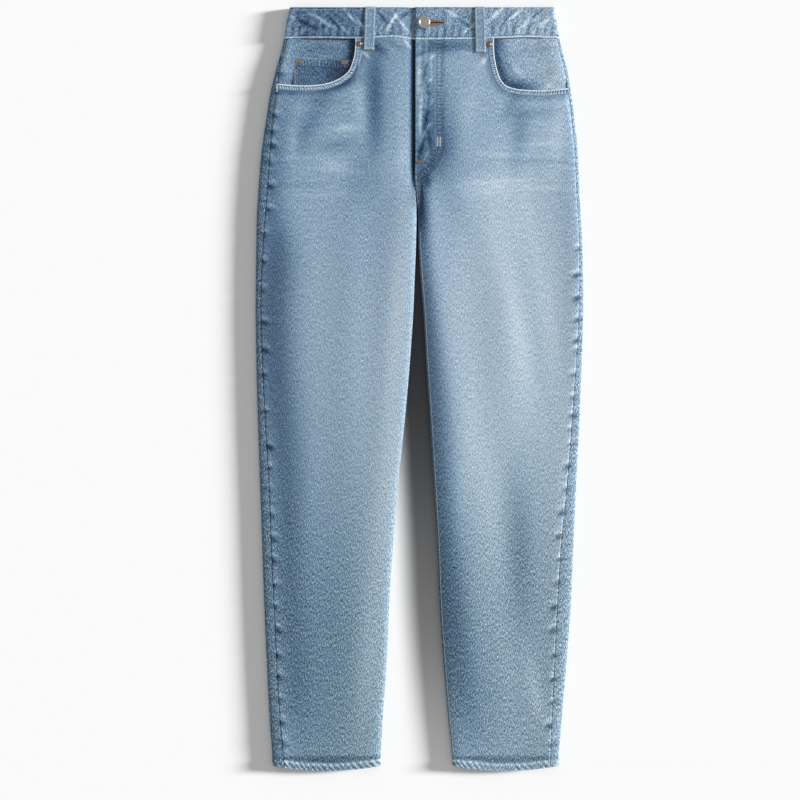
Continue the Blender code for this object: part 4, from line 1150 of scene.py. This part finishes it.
def cut_hole(band, foot, radius):
    """Cuts a round hole and the slot beside it through the upper end of the band."""
    height = 6 * MM
    bpy.ops.mesh.primitive_cylinder_add(
        radius=radius, depth=height, vertices=24, location=(BUTTON_X, BUTTON_Y, foot + height / 2)
    )
    round_cut = bpy.context.object
    bpy.ops.mesh.primitive_cube_add(
        size=1,
        location=((BUTTON_X + BUTTONHOLE_END_X) / 2, BUTTON_Y, foot + height / 2),
        scale=(BUTTONHOLE_END_X - BUTTON_X, BUTTONHOLE_WIDTH, height),
    )
    slot_cut = bpy.context.object
    bpy.ops.object.transform_apply(location=False, rotation=False, scale=True)
    for cutter in (round_cut, slot_cut):
        hole = band.modifiers.new("hole", "BOOLEAN")
        hole.operation = "DIFFERENCE"
        hole.object = cutter
        bpy.ops.object.select_all(action="DESELECT")
    graph = bpy.context.evaluated_depsgraph_get()
    mesh = bpy.data.meshes.new_from_object(band.evaluated_get(graph))
    band.modifiers.clear()
    band.data = mesh
    for cutter in (round_cut, slot_cut):
        bpy.data.objects.remove(cutter)


def loop_piece(name, points, material, front):
    """A belt loop: two rows of stitching make a ridge on each side of a softly hollow middle."""
    rows, columns = points.shape[:2]
    across = np.abs(np.linspace(-1, 1, columns))
    edge = smooth_step(across, 0.45, 0.8)
    wash = 0.58 + 0.06 * edge - 0.04 * bell(across, 0.62, 0.12) + np.zeros((rows, 1))
    wash[:3] += 0.14
    if front:
        points[..., 2] += MM * (0.18 * bell(across, 0.8, 0.2) - 0.1 * bell(across, 0.55, 0.1))
    return add_piece(name, [{"points": points, "wash": wash, "grain": 0.45}], LOOP_CLOTH, material)


def front_loop_points(name):
    """A front loop's points: sewn down below the band, arched over it, sewn down at its top."""
    top_x, foot_x, top_y, foot_y = FRONT_LOOPS[name]
    seat = BAND_FRONT_MID + BAND_CLOTH / 2 + SEAM_GAP + LOOP_CLOTH / 2
    side = math.copysign(1, top_x)
    shares = np.array([0, 0.12, 0.24, 0.36, 0.55, 0.8, 0.94, 1.0])
    panel_z = top_height(side, np.array([foot_x]), np.array([foot_y + 4 * MM]))[0]
    foot_z = panel_z + CLOTH / 2 + SEAM_GAP + LOOP_CLOTH / 2 + 0.1 * MM
    heights = [foot_z, foot_z + 0.1 * MM, seat + 0.3 * MM, seat + 0.8 * MM]
    heights += [seat + 1.0 * MM, seat + 0.8 * MM, seat + 0.3 * MM, seat + 0.05 * MM]
    at = np.linspace(0, 1, 56)
    z = smooth_curve(at, shares, heights)
    x = (foot_x + at * (top_x - foot_x))[:, None] + np.linspace(-0.5, 0.5, 15) * LOOP_WIDTH
    y = np.repeat((foot_y + at * (top_y - foot_y))[:, None], 15, axis=1)
    return np.stack([x, y, np.repeat(z[:, None], 15, axis=1)], axis=-1)


def back_loop_points(name):
    """A back loop's points, flat under the band."""
    y = np.repeat(np.linspace(BACK_LOOP_FOOT_Y, BAND_TOP_Y, 30)[:, None], 9, axis=1)
    x = BACK_LOOPS[name] + np.linspace(-0.5, 0.5, 9) * LOOP_WIDTH + 0 * y
    return np.stack([x, y, np.full_like(x, LOOP_CLOTH / 2)], axis=-1)


# Colours of the denim from rawest to most faded, as display values
DENIM_TONES = (
    (0.08, (14, 24, 40)),
    (0.22, (38, 58, 80)),
    (0.36, (72, 98, 122)),
    (0.48, (102, 128, 149)),
    (0.58, (129, 152, 170)),
    (0.67, (152, 175, 191)),
    (0.76, (177, 196, 210)),
    (0.86, (205, 219, 229)),
    (0.96, (232, 240, 245)),
)
LIGHT_LEVEL = 1.062
KEY_LEVEL = 2.0
ROOM_LEVEL = 0.425
CAMERA_PLACE = (-0.02535, -0.01417, 2.895)
CAMERA_LENS = 100
TURNED_STEPS = 64


def linear(display):
    """A display value of 0 to 255 as a colour of cloth in this light."""
    value = display / 255
    return (value / 12.92 if value <= 0.04045 else ((value + 0.055) / 1.055) ** 2.4) / LIGHT_LEVEL


class Graph:
    """Small helper that adds and links shader nodes."""

    def __init__(self, material):
        self.nodes = material.node_tree.nodes
        self.links = material.node_tree.links

    def add(self, kind, inputs=None, **settings):
        node = self.nodes.new(kind)
        for name, value in settings.items():
            setattr(node, name, value)
        for name, value in (inputs or {}).items():
            socket = node.inputs[name]
            if isinstance(value, bpy.types.NodeSocket):
                self.links.new(value, socket)
            else:
                socket.default_value = value
        return node

    def maths(self, operation, a, b):
        return self.add("ShaderNodeMath", {0: a, 1: b}, operation=operation).outputs[0]

    def between(self, value, low, high, first, last):
        """Goes from the first number to the last one as the value goes from low to high."""
        ends = {"Value": value, "From Min": low, "From Max": high, "To Min": first, "To Max": last}
        return self.add("ShaderNodeMapRange", ends).outputs[0]

    def noise(self, vector, stretch, scale, detail=1.0, turn=0.0, roughness=0.6):
        """Noise round 0, stretched and turned on the cloth."""
        place = self.add("ShaderNodeMapping", {"Vector": vector, "Rotation": (0, 0, turn), "Scale": stretch})
        node = self.add(
            "ShaderNodeTexNoise",
            {"Vector": place.outputs[0], "Scale": scale, "Detail": detail, "Roughness": roughness},
        )
        return self.maths("SUBTRACT", node.outputs[0], 0.5)


def denim_material(name, blotch=0.0):
    """Washed indigo twill: wash and grain come from the piece, the yarns from noise along the cloth. The
    piece's wash also holds painted shade in places.
    """
    material = bpy.data.materials.new(name)
    material.use_nodes = True
    graph = Graph(material)
    shader = graph.nodes["Principled BSDF"]
    shader.inputs["Roughness"].default_value = 0.9
    shader.inputs["Sheen Weight"].default_value = 0.08
    cloth = graph.add("ShaderNodeUVMap", uv_map="cloth").outputs[0]
    wash = graph.add("ShaderNodeAttribute", attribute_name="wash").outputs["Fac"]
    grain = graph.add("ShaderNodeAttribute", attribute_name="grain").outputs["Fac"]
    fleck = graph.noise(cloth, (1, 0.75, 1), 1150, 1.0)
    slub = graph.noise(cloth, (1, 0.26, 1), 1000, 0.0)
    twill = graph.noise(cloth, (1, 0.34, 1), 1050, 0.0, turn=math.radians(-40))
    mottle = graph.noise(cloth, (1, 1, 1), 120, 3.0)
    yarns = graph.maths("ADD", graph.maths("MULTIPLY", fleck, 1.15), graph.maths("MULTIPLY", slub, 0.75))
    yarns = graph.maths("ADD", yarns, graph.maths("MULTIPLY", twill, 1.0))
    yarns = graph.maths("MULTIPLY", yarns, grain)
    value = graph.maths("ADD", wash, yarns)
    value = graph.maths("ADD", value, graph.maths("MULTIPLY", mottle, 0.10))
    if blotch:
        patch = graph.noise(cloth, (1, 0.42, 1), 150, 2.0, turn=math.radians(-42), roughness=0.5)
        value = graph.maths("ADD", value, graph.maths("MULTIPLY", patch, blotch))
    ramp = graph.add("ShaderNodeValToRGB", {"Fac": value})
    elements = ramp.color_ramp.elements
    while len(elements) < len(DENIM_TONES):
        elements.new(0.5)
    for element, (place, tone) in zip(elements, DENIM_TONES):
        element.position = place
        element.color = (*(linear(channel) for channel in tone), 1.0)
    tint = graph.noise(cloth, (1, 1, 1), 330, 1.0)
    place = graph.add("ShaderNodeTexCoord").outputs["Object"]
    level = graph.add("ShaderNodeSeparateXYZ", {0: place}).outputs["Y"]
    bluer = graph.between(level, 0.12, 0.30, 1.08, 1.20)
    violet = graph.between(level, -0.30, 0.10, 0.496, 0.507)
    tinted = graph.add(
        "ShaderNodeHueSaturation",
        {
            "Hue": graph.maths("ADD", graph.maths("MULTIPLY", tint, 0.10), violet),
            "Saturation": bluer,
            "Color": ramp.outputs[0],
        },
    )
    graph.links.new(tinted.outputs[0], shader.inputs["Base Color"])
    wale = graph.add(
        "ShaderNodeTexWave", {"Vector": cloth, "Scale": 600.0, "Distortion": 0.6}, bands_direction="DIAGONAL"
    )
    height = graph.maths("ADD", graph.maths("MULTIPLY", wale.outputs["Fac"], 0.35), yarns)
    bump = graph.add("ShaderNodeBump", {"Height": height, "Strength": 0.4, "Distance": 0.0002})
    graph.links.new(bump.outputs[0], shader.inputs["Normal"])
    return material


def place_stitches(path, pitch=PITCH):
    """Middle and direction of each stitch along a path of points, a little uneven."""
    path = np.asarray(path, float)
    reach = np.concatenate([[0], np.cumsum(np.linalg.norm(np.diff(path, axis=0), axis=1))])
    count = max(int(reach[-1] / pitch), 1)
    at = (np.arange(count) + 0.5) * reach[-1] / count
    step = 0.5 * MM
    middle, ahead, behind = (
        np.stack([np.interp(places, reach, path[:, axis]) for axis in range(3)], axis=-1)
        for places in (at, at + step, at - step)
    )
    direction = ahead - behind
    return middle, direction / np.linalg.norm(direction, axis=1)[:, None]


def stitch_line(x, y, z, pitch=PITCH):
    """Stitches along the line that these coordinates give."""
    return place_stitches(np.stack(np.broadcast_arrays(x, y, z), axis=-1), pitch)


def bar_tack(middle, angle, length, width):
    """Close stitches side by side over a bar; the angle is the bar's own, from X."""
    turn = math.radians(angle)
    along = np.array([math.cos(turn), math.sin(turn), 0])
    across = np.array([-math.sin(turn), math.cos(turn), 0.0])
    count = max(int(length / (0.55 * MM)), 2)
    places = np.asarray(middle) + np.linspace(-0.5, 0.5, count)[:, None] * length * along
    return places, np.repeat(across[None, :], count, axis=0), width


def add_stitches(name, rows, length, radius, material):
    """All stitches of one kind as one mesh of small rounded bars."""
    shape = np.array([(-0.5, 0.35), (-0.36, 0.85), (0.0, 1.0), (0.36, 0.85), (0.5, 0.35)])
    sides = 6
    turn = np.arange(sides) * 2 * math.pi / sides
    points, faces, first = [], [], 0
    index = np.arange(len(shape) * sides).reshape(len(shape), sides)
    quads = grid_quads(np.hstack([index, index[:, :1]]))
    for row in rows:
        middle, direction = row[0], row[1]
        size = row[2] if len(row) > 2 else length
        lift = np.cross(direction, np.array([0, 1.0, 0.37]))
        lift /= np.linalg.norm(lift, axis=1)[:, None]
        other = np.cross(direction, lift)
        for place, along, first_side, second_side in zip(middle, direction, lift, other):
            ring_points = [
                place
                + along * size * at
                + radius * wide * (np.cos(turn)[:, None] * first_side + np.sin(turn)[:, None] * second_side)
                for at, wide in shape
            ]
            points.append(np.concatenate(ring_points))
            faces.append(quads + first)
            first += index.size
    mesh = bpy.data.meshes.new(name)
    mesh.from_pydata(np.concatenate(points).tolist(), [], np.concatenate(faces).tolist())
    obj = add_object(mesh, material)
    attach(obj, "root")
    return obj


def on_front(side, x, y):
    """Points on a front's outer face."""
    x, y = np.asarray(x, float), np.asarray(y, float)
    height, _, _ = front_looks(side, x, y)
    z = top_height(side, x, y) + height + CLOTH / 2
    z = z + (HEM_THICK - CLOTH) * hem_cloth(y - hem_bow(side, x, y))
    return np.stack([x, y, z], axis=-1)


def on_band(x, up, under_end):
    """Points on the outer face of the band's front, this far above its foot."""
    foot_y = waist_seam_y(x) + SEAM_GAP / 2 + BAND_FOOT_EASE
    y = foot_y + up
    height, _ = band_looks(x, y, foot_y)
    return np.stack([x, y, band_top_height(x, under_end) + height + BAND_CLOTH / 2], axis=-1)


def seam_rows():
    """The tonal stitching that shows on the front, the hems and the loops."""
    rows = []
    band_height = BAND_TOP_Y - BAND_FOOT_Y
    over_x = np.linspace(FLY_EDGE_X + 1.5 * MM, 0.1745, 200)
    under_x = np.linspace(-0.1680, FLY_EDGE_X - 1 * MM, 200)
    for up in (1.7 * MM, band_height - 4.6 * MM):
        rows.append(place_stitches(on_band(over_x, up + 0 * over_x, False)))
        rows.append(place_stitches(on_band(under_x, up + 0 * under_x, True)))
    for side in (RIGHT, LEFT):
        y = np.full(120, HEM_STITCH_Y)
        inner_x, outer_x = leg_edge(side, "inner", y[0]), leg_edge(side, "outer", y[0])
        x = np.linspace(inner_x + side * 2 * MM, outer_x - side * 2 * MM, 120)
        rows.append(place_stitches(on_front(side, x, y + hem_bow(side, x, y))))
        for inset in (1.3 * MM, 6.4 * MM):
            line = mouth_line(side, inset, 160)
            z = top_height(side, line[:, 0], line[:, 1]) + CLOTH / 2
            rows.append(place_stitches(np.column_stack([line, z])))
        y = np.linspace(-0.478, 0.205, 300)
        x = leg_edge(side, "inner", y) + side * 2.6 * MM
        rows.append(place_stitches(on_front(side, x, y)))
    for name in FRONT_LOOPS:
        points = front_loop_points(name)
        for column in (2, 12):
            edge = points[:, column] + np.array([0, 0, LOOP_CLOTH / 2 + 0.1 * MM])
            rows.append(place_stitches(edge, 2.9 * MM))
    return rows


def fly_rows():
    """The two rows of the fly's curved stitching, and the centre seam's below it."""
    rows = []
    path = smooth_path(J_PATH, 200)
    for shift in (-J_WIDTH / 2, J_WIDTH / 2):
        line = path + path_normals(path) * shift
        line = line[line[:, 0] > FLY_EDGE_X + 1 * MM]
        rows.append(place_stitches(on_front(LEFT, line[:, 0], line[:, 1])))
    y = np.linspace(0.2740, 0.2400, 30)
    for away in (1.4 * MM, 4.6 * MM):
        x = leg_edge(LEFT, "inner", y) + away * smooth_step(y, 0.225, 0.262)
        rows.append(place_stitches(on_front(LEFT, x + 0.4 * MM, y)))
    return rows


def back_rows():
    """Plain double rows on the back: the yoke seams, the centre seam, the pockets and the band."""
    rows = []
    for side in (RIGHT, LEFT):
        for away in DOUBLE_ROWS:
            x = side * np.linspace(0.004, 0.175, 90)
            y = yoke_y(side, x) + away
            rows.append(stitch_line(x, y, under_height(side, x, y) - CLOTH / 2 + STITCH_LIFT))
            ring = np.array(BACK_POCKET[:1] + tuple(reversed(BACK_POCKET)))
            middle = ring[:-1].mean(axis=0)
            inward = middle - ring
            ring = ring + inward / np.hypot(inward[:, 0], inward[:, 1])[:, None] * away * 1.3
            rows.append(stitch_line(side * ring[:, 0], ring[:, 1], STITCH_LIFT))
    y = np.linspace(0.245, 0.384, 60)
    for away in DOUBLE_ROWS:
        x = CROTCH_X + away + 0 * y
        rows.append(stitch_line(x, y, under_height(LEFT, x, y) - CLOTH / 2 + STITCH_LIFT))
    x = np.linspace(-0.160, 0.168, 150)
    for y in (BACK_SEAM_Y + 2.2 * MM, BAND_TOP_Y - 3.5 * MM):
        rows.append(stitch_line(x, y, BAND_BACK_MID - BAND_CLOTH / 2 + STITCH_LIFT))
    return rows


def coin_rows():
    """Two rows along the coin pocket's hem and two along its side."""
    rows = []
    x = np.linspace(COIN_OUTER_X + 2 * MM, -0.088, 60)
    share = (x - COIN_INNER_X) / (COIN_OUTER_X - COIN_INNER_X)
    top = COIN_TOP_INNER_Y + share * (COIN_TOP_OUTER_Y - COIN_TOP_INNER_Y)
    depth = SEAM_GAP + LAYER_EASE / 2 + CLOTH / 2
    for down in (1.5 * MM, 9.6 * MM):
        rows.append(stitch_line(x, top - down, top_height(RIGHT, x, top - down) - depth, CLOSE_PITCH))
    y = np.linspace(0.397, COIN_TOP_OUTER_Y - 2 * MM, 30)
    for away in (1.3 * MM, 5.0 * MM):
        x = COIN_OUTER_X + away + 0 * y
        rows.append(stitch_line(x, y, top_height(RIGHT, x, y) - depth, CLOSE_PITCH))
    return rows


def tack_on_front(side, x, y, angle, length, width):
    """A bar tack on a front."""
    middle = on_front(side, np.array([x]), np.array([y]))[0] + np.array([0, 0, STITCH_LIFT])
    return bar_tack(middle, angle, length, width)


def loop_tacks():
    """A bar tack at the foot and one at the top of each front loop."""
    tacks = []
    for name in FRONT_LOOPS:
        points = front_loop_points(name)
        for row in (2, 53):
            place = points[row, 7] + np.array([0, 0, LOOP_CLOTH / 2 + 0.15 * MM])
            tacks.append(bar_tack(place, 0, 9.5 * MM, TACK_WIDTH))
    return tacks


def buttonhole_rows():
    """Close satin stitches round the slot, wide beside the button and tapering away from it."""
    rows = []
    x = np.arange(BUTTON_X + BUTTON_RADIUS - 1 * MM, BUTTONHOLE_END_X + 2.2 * MM, 0.6 * MM)
    taper = 1 - smooth_step(x, BUTTONHOLE_END_X - 12 * MM, BUTTONHOLE_END_X + 3 * MM)
    z = band_top_height(x, False) + BAND_CLOTH / 2 + 0.25 * MM
    for turn in (-1, 1):
        y = BUTTON_Y + turn * (BUTTONHOLE_WIDTH / 2 + 1.5 * MM * taper) - 0.6 * MM
        middle = np.stack([x, y, z], axis=-1)
        direction = np.repeat(np.array([[0.12, 1.0, 0.0]]) / 1.007, len(x), axis=0)
        for place, way, share in zip(middle, direction, taper):
            rows.append((place[None, :], way[None, :], (1.0 + 2.6 * share) * MM))
    return rows


def plain_material(name, colour, roughness, metallic=0.0):
    """A material of one colour."""
    material = bpy.data.materials.new(name)
    material.use_nodes = True
    shader = material.node_tree.nodes["Principled BSDF"]
    shader.inputs["Base Color"].default_value = (*colour, 1.0)
    shader.inputs["Roughness"].default_value = roughness
    shader.inputs["Metallic"].default_value = metallic
    return material


# Shade on the floor between the legs, up the leg
GAP_SHADE_Y = (-0.50, -0.456, -0.339, -0.209, -0.079, 0.038, 0.207)
GAP_SHADE = (0.0, 0.10, 0.48, 0.70, 0.88, 0.95, 0.97)
FLOOR_WHITE = (0.9, 0.9, 0.9)
FLOOR_DARK = (0.012, 0.016, 0.024)


def gap_shade(x, y):
    """How much of the room's light the legs keep from the floor between them."""
    strength = smooth_curve(y, GAP_SHADE_Y, GAP_SHADE)
    near, far = leg_edge(LEFT, "inner", y), leg_edge(RIGHT, "inner", y)
    fade = 1 - smooth_step(near - x, 26 * MM, 60 * MM)
    inside = smooth_step(x, far - 8 * MM, far) * smooth_step(near + 8 * MM - x, 0, 4 * MM)
    return strength * fade * inside * (y > GAP_SHADE_Y[0]) * (y < 0.235)


def add_floor():
    """A wide white floor, fine enough between the legs to carry their shade."""
    x = np.concatenate([[-10], np.linspace(-0.070, 0.050, 100), [10]])
    y = np.concatenate([[-10], np.linspace(-0.510, 0.240, 160), [10]])
    x, y = np.meshgrid(x, y)
    shade = np.zeros_like(x)
    shade[1:-1, 1:-1] = gap_shade(x[1:-1, 1:-1], y[1:-1, 1:-1])
    points = np.stack([x, y, np.full_like(x, -0.2 * MM)], axis=-1).reshape(-1, 3)
    index = np.arange(x.size).reshape(x.shape)
    mesh = bpy.data.meshes.new("floor")
    mesh.from_pydata(points.tolist(), [], grid_quads(index).tolist())
    shade_values = mesh.attributes.new("shade", "FLOAT", "POINT").data
    shade_values.foreach_set("value", shade.reshape(-1).astype(np.float32))
    material = plain_material("floor_white", FLOOR_WHITE, 0.9)
    graph = Graph(material)
    level = graph.add("ShaderNodeAttribute", attribute_name="shade").outputs["Fac"]
    mix = graph.add("ShaderNodeMix", {"Factor": level}, data_type="RGBA")
    mix.inputs["A"].default_value = (*FLOOR_WHITE, 1)
    mix.inputs["B"].default_value = (*FLOOR_DARK, 1)
    graph.links.new(mix.outputs["Result"], graph.nodes["Principled BSDF"].inputs["Base Color"])
    add_object(mesh, material)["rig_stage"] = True


def turned(name, profile, place, material):
    """A metal piece turned on an upright axis: its profile runs from the top's middle to the foot's."""
    angles = np.arange(TURNED_STEPS) * 2 * math.pi / TURNED_STEPS
    profile = np.array(profile) * MM
    rings = [
        np.stack([radius * np.cos(angles), radius * np.sin(angles), np.full(TURNED_STEPS, height)], axis=-1)
        for radius, height in profile
    ]
    points = np.concatenate([[(0, 0, profile[0][1])], *rings[1:-1], [(0, 0, profile[-1][1])]])
    faces = []
    last = len(points) - 1
    for step in range(TURNED_STEPS):
        beside = (step + 1) % TURNED_STEPS
        faces.append((0, 1 + step, 1 + beside))
        for ring in range(len(rings) - 3):
            low, high = 1 + (ring + 1) * TURNED_STEPS, 1 + ring * TURNED_STEPS
            faces.append((high + step, low + step, low + beside, high + beside))
        foot = last - TURNED_STEPS
        faces.append((foot + beside, foot + step, last))
    mesh = bpy.data.meshes.new(name)
    mesh.from_pydata((points + np.array(place)).tolist(), [], faces)
    obj = add_object(mesh, material)
    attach(obj, "root")
    return obj


def button_piece(material):
    """A plain domed button with a turned ring, on its shank."""
    foot = BAND_UNDER_MID + BAND_CLOTH / 2 + SEAM_GAP
    seat = (BAND_OVER_MID + BAND_CLOTH / 2 + SEAM_GAP - foot) / MM
    radius, shank = BUTTON_RADIUS / MM, SHANK_RADIUS / MM
    profile = [
        (0, seat + 2.35),
        (1.5, seat + 2.3),
        (3.1, seat + 2.05),
        (3.5, seat + 1.9),
        (3.8, seat + 2.15),
        (4.2, seat + 2.15),
        (4.6, seat + 1.9),
        (5.0, seat + 2.1),
        (5.7, seat + 2.6),
        (6.4, seat + 2.7),
        (7.2, seat + 2.5),
        (7.9, seat + 2.0),
        (radius, seat + 1.4),
        (8.2, seat + 0.7),
        (7.8, seat),
        (shank, seat),
        (shank, 0),
        (0, 0),
    ]
    piece = turned("button_metal", profile, (BUTTON_X, BUTTON_Y, foot), material)
    return piece


def rivet_piece(name, material):
    """A plain burred rivet cap."""
    x, y = RIVETS[name]
    side = math.copysign(1, x)
    foot = top_height(side, np.array([x]), np.array([y]))[0] + CLOTH / 2 + SEAM_GAP + 0.1 * MM
    radius = RIVET_RADIUS / MM
    profile = [(0, 1.55), (0.7, 1.5), (1.2, 1.3), (1.5, 0.9), (1.9, 0.75), (2.6, 0.85), (3.3, 0.7)]
    profile += [(radius, 0.3), (radius, 0), (0, 0)]
    piece = turned(f"{name}_metal", profile, (x, y, foot), material)
    return piece


def add_sun(name, elevation, azimuth, angle, level, receivers):
    """A soft sun that gives this much light on level ground, seen only by its receivers."""
    sun = bpy.data.lights.new(name, "SUN")
    elevation, azimuth = math.radians(elevation), math.radians(azimuth)
    sun.energy = level / math.sin(elevation)
    sun.angle = math.radians(angle)
    obj = bpy.data.objects.new(name, sun)
    flat = math.cos(elevation)
    towards = Vector((flat * math.cos(azimuth), flat * math.sin(azimuth), math.sin(elevation)))
    obj.rotation_euler = towards.to_track_quat("Z", "Y").to_euler()
    bpy.context.scene.collection.objects.link(obj)
    obj.light_linking.receiver_collection = receivers


def add_lights():
    """A soft key from the wearer's left and a white room. The floor takes it at a lower slant."""
    ground = bpy.data.collections.new("ground")
    garment = bpy.data.collections.new("garment")
    for obj in bpy.context.scene.objects:
        if obj.type == "MESH":
            (ground if obj.get("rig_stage") else garment).objects.link(obj)
    add_sun("floor_key", 10.5, 8, 8, KEY_LEVEL, ground)
    add_sun("cloth_key", 24, 12, 14, KEY_LEVEL, garment)
    world = bpy.data.worlds.new("studio")
    bpy.context.scene.world = world
    world.use_nodes = True
    background = world.node_tree.nodes["Background"]
    background.inputs["Color"].default_value = (1, 1, 1, 1)
    background.inputs["Strength"].default_value = ROOM_LEVEL


def add_camera():
    """Looks straight down on the garment."""
    camera = bpy.data.cameras.new("camera")
    camera.lens = CAMERA_LENS
    camera.sensor_width = 36
    camera.clip_end = 20
    obj = bpy.data.objects.new("camera", camera)
    obj.location = CAMERA_PLACE
    bpy.context.scene.collection.objects.link(obj)
    bpy.context.scene.camera = obj


denim = denim_material("washed_denim_cloth")
pocket_denim = denim_material("pocket_denim_cloth", blotch=0.10)
band_denim = denim_material("band_denim_cloth", blotch=0.42)
pieces = {}
for word, wearer_side in (("right", RIGHT), ("left", LEFT)):
    pieces[f"front_{word}"] = front_piece(f"front_{word}_cloth", wearer_side, denim)
    pieces[f"back_{word}"] = back_piece(f"back_{word}_cloth", wearer_side, denim)
    pieces[f"yoke_{word}"] = yoke_piece(f"yoke_{word}_cloth", wearer_side, denim)
    pieces[f"facing_{word}"] = facing_piece(f"facing_{word}_cloth", wearer_side, pocket_denim)
    pieces[f"back_pocket_{word}"] = back_pocket_piece(f"back_pocket_{word}_cloth", wearer_side, denim)
pieces["coin_pocket"] = coin_piece(pocket_denim)
pieces["waistband"] = waistband_piece(band_denim)
for loop_name in FRONT_LOOPS:
    pieces[loop_name] = loop_piece(f"{loop_name}_cloth", front_loop_points(loop_name), denim, True)
for loop_name in BACK_LOOPS:
    pieces[loop_name] = loop_piece(f"{loop_name}_cloth", back_loop_points(loop_name), denim, False)
for node, piece in pieces.items():
    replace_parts(piece, node)
steel = plain_material("turned_steel", (0.60, 0.56, 0.53), 0.30, 1.0)
brass = plain_material("aged_brass", (0.30, 0.25, 0.19), 0.42, 1.0)
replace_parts(button_piece(steel), "button")
for rivet_name in RIVETS:
    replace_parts(rivet_piece(rivet_name, brass), rivet_name)

pale_thread = plain_material("pale_thread", (0.44, 0.50, 0.53), 0.8)
grey_thread = plain_material("grey_thread", (0.20, 0.20, 0.21), 0.8)
tan_thread = plain_material("tan_thread", (0.24, 0.19, 0.145), 0.8)
copper_thread = plain_material("copper_thread", (0.28, 0.15, 0.085), 0.7)
tacks = [
    tack_on_front(RIGHT, -0.1855, 0.3905, 95, 9 * MM, TACK_WIDTH),
    tack_on_front(LEFT, 0.1950, 0.3850, 85, 9 * MM, TACK_WIDTH),
    tack_on_front(LEFT, 0.0232, 0.3215, 88, 12 * MM, FLY_TACK_WIDTH),
    tack_on_front(LEFT, 0.0268, 0.3215, 88, 12 * MM, FLY_TACK_WIDTH),
    *loop_tacks(),
]
coin_z = top_height(RIGHT, np.array([-0.158, -0.098]), np.array([0.427, 0.425])) - SEAM_GAP - CLOTH / 2
coin_bars = [
    bar_tack((-0.1575, 0.4262, coin_z[0] + 0.15 * MM), 0, 7 * MM, 5.5 * MM),
    bar_tack((-0.0975, 0.4250, coin_z[1] + 0.15 * MM), 0, 8 * MM, 5.5 * MM),
]
seam_stitches = add_stitches("seam_stitches", seam_rows(), STITCH, THREAD, pale_thread)
fly_stitches = add_stitches("fly_stitches", fly_rows(), STITCH, THREAD, grey_thread)
back_stitches = add_stitches("back_stitches", back_rows(), STITCH, FINE_THREAD, pale_thread)
coin_stitches = add_stitches("coin_stitches", coin_rows(), SHORT_STITCH, FINE_THREAD, tan_thread)
bar_tacks = add_stitches("bar_tacks", tacks, TACK_STITCH, TACK_THREAD, pale_thread)
coin_tacks = add_stitches("coin_tacks", coin_bars, TACK_STITCH, TACK_THREAD, tan_thread)
fly_bar = [tack_on_front(LEFT, 0.0003, 0.2955, 0, 8.5 * MM, FLY_TACK_WIDTH)]
fly_tack = add_stitches("fly_tack", fly_bar, TACK_STITCH, TACK_THREAD, copper_thread)
buttonhole = buttonhole_rows()
buttonhole_stitches = add_stitches("buttonhole_stitches", buttonhole, TACK_STITCH, THREAD, copper_thread)

add_floor()
add_lights()
add_camera()
bpy.context.scene.view_settings.view_transform = "Standard"
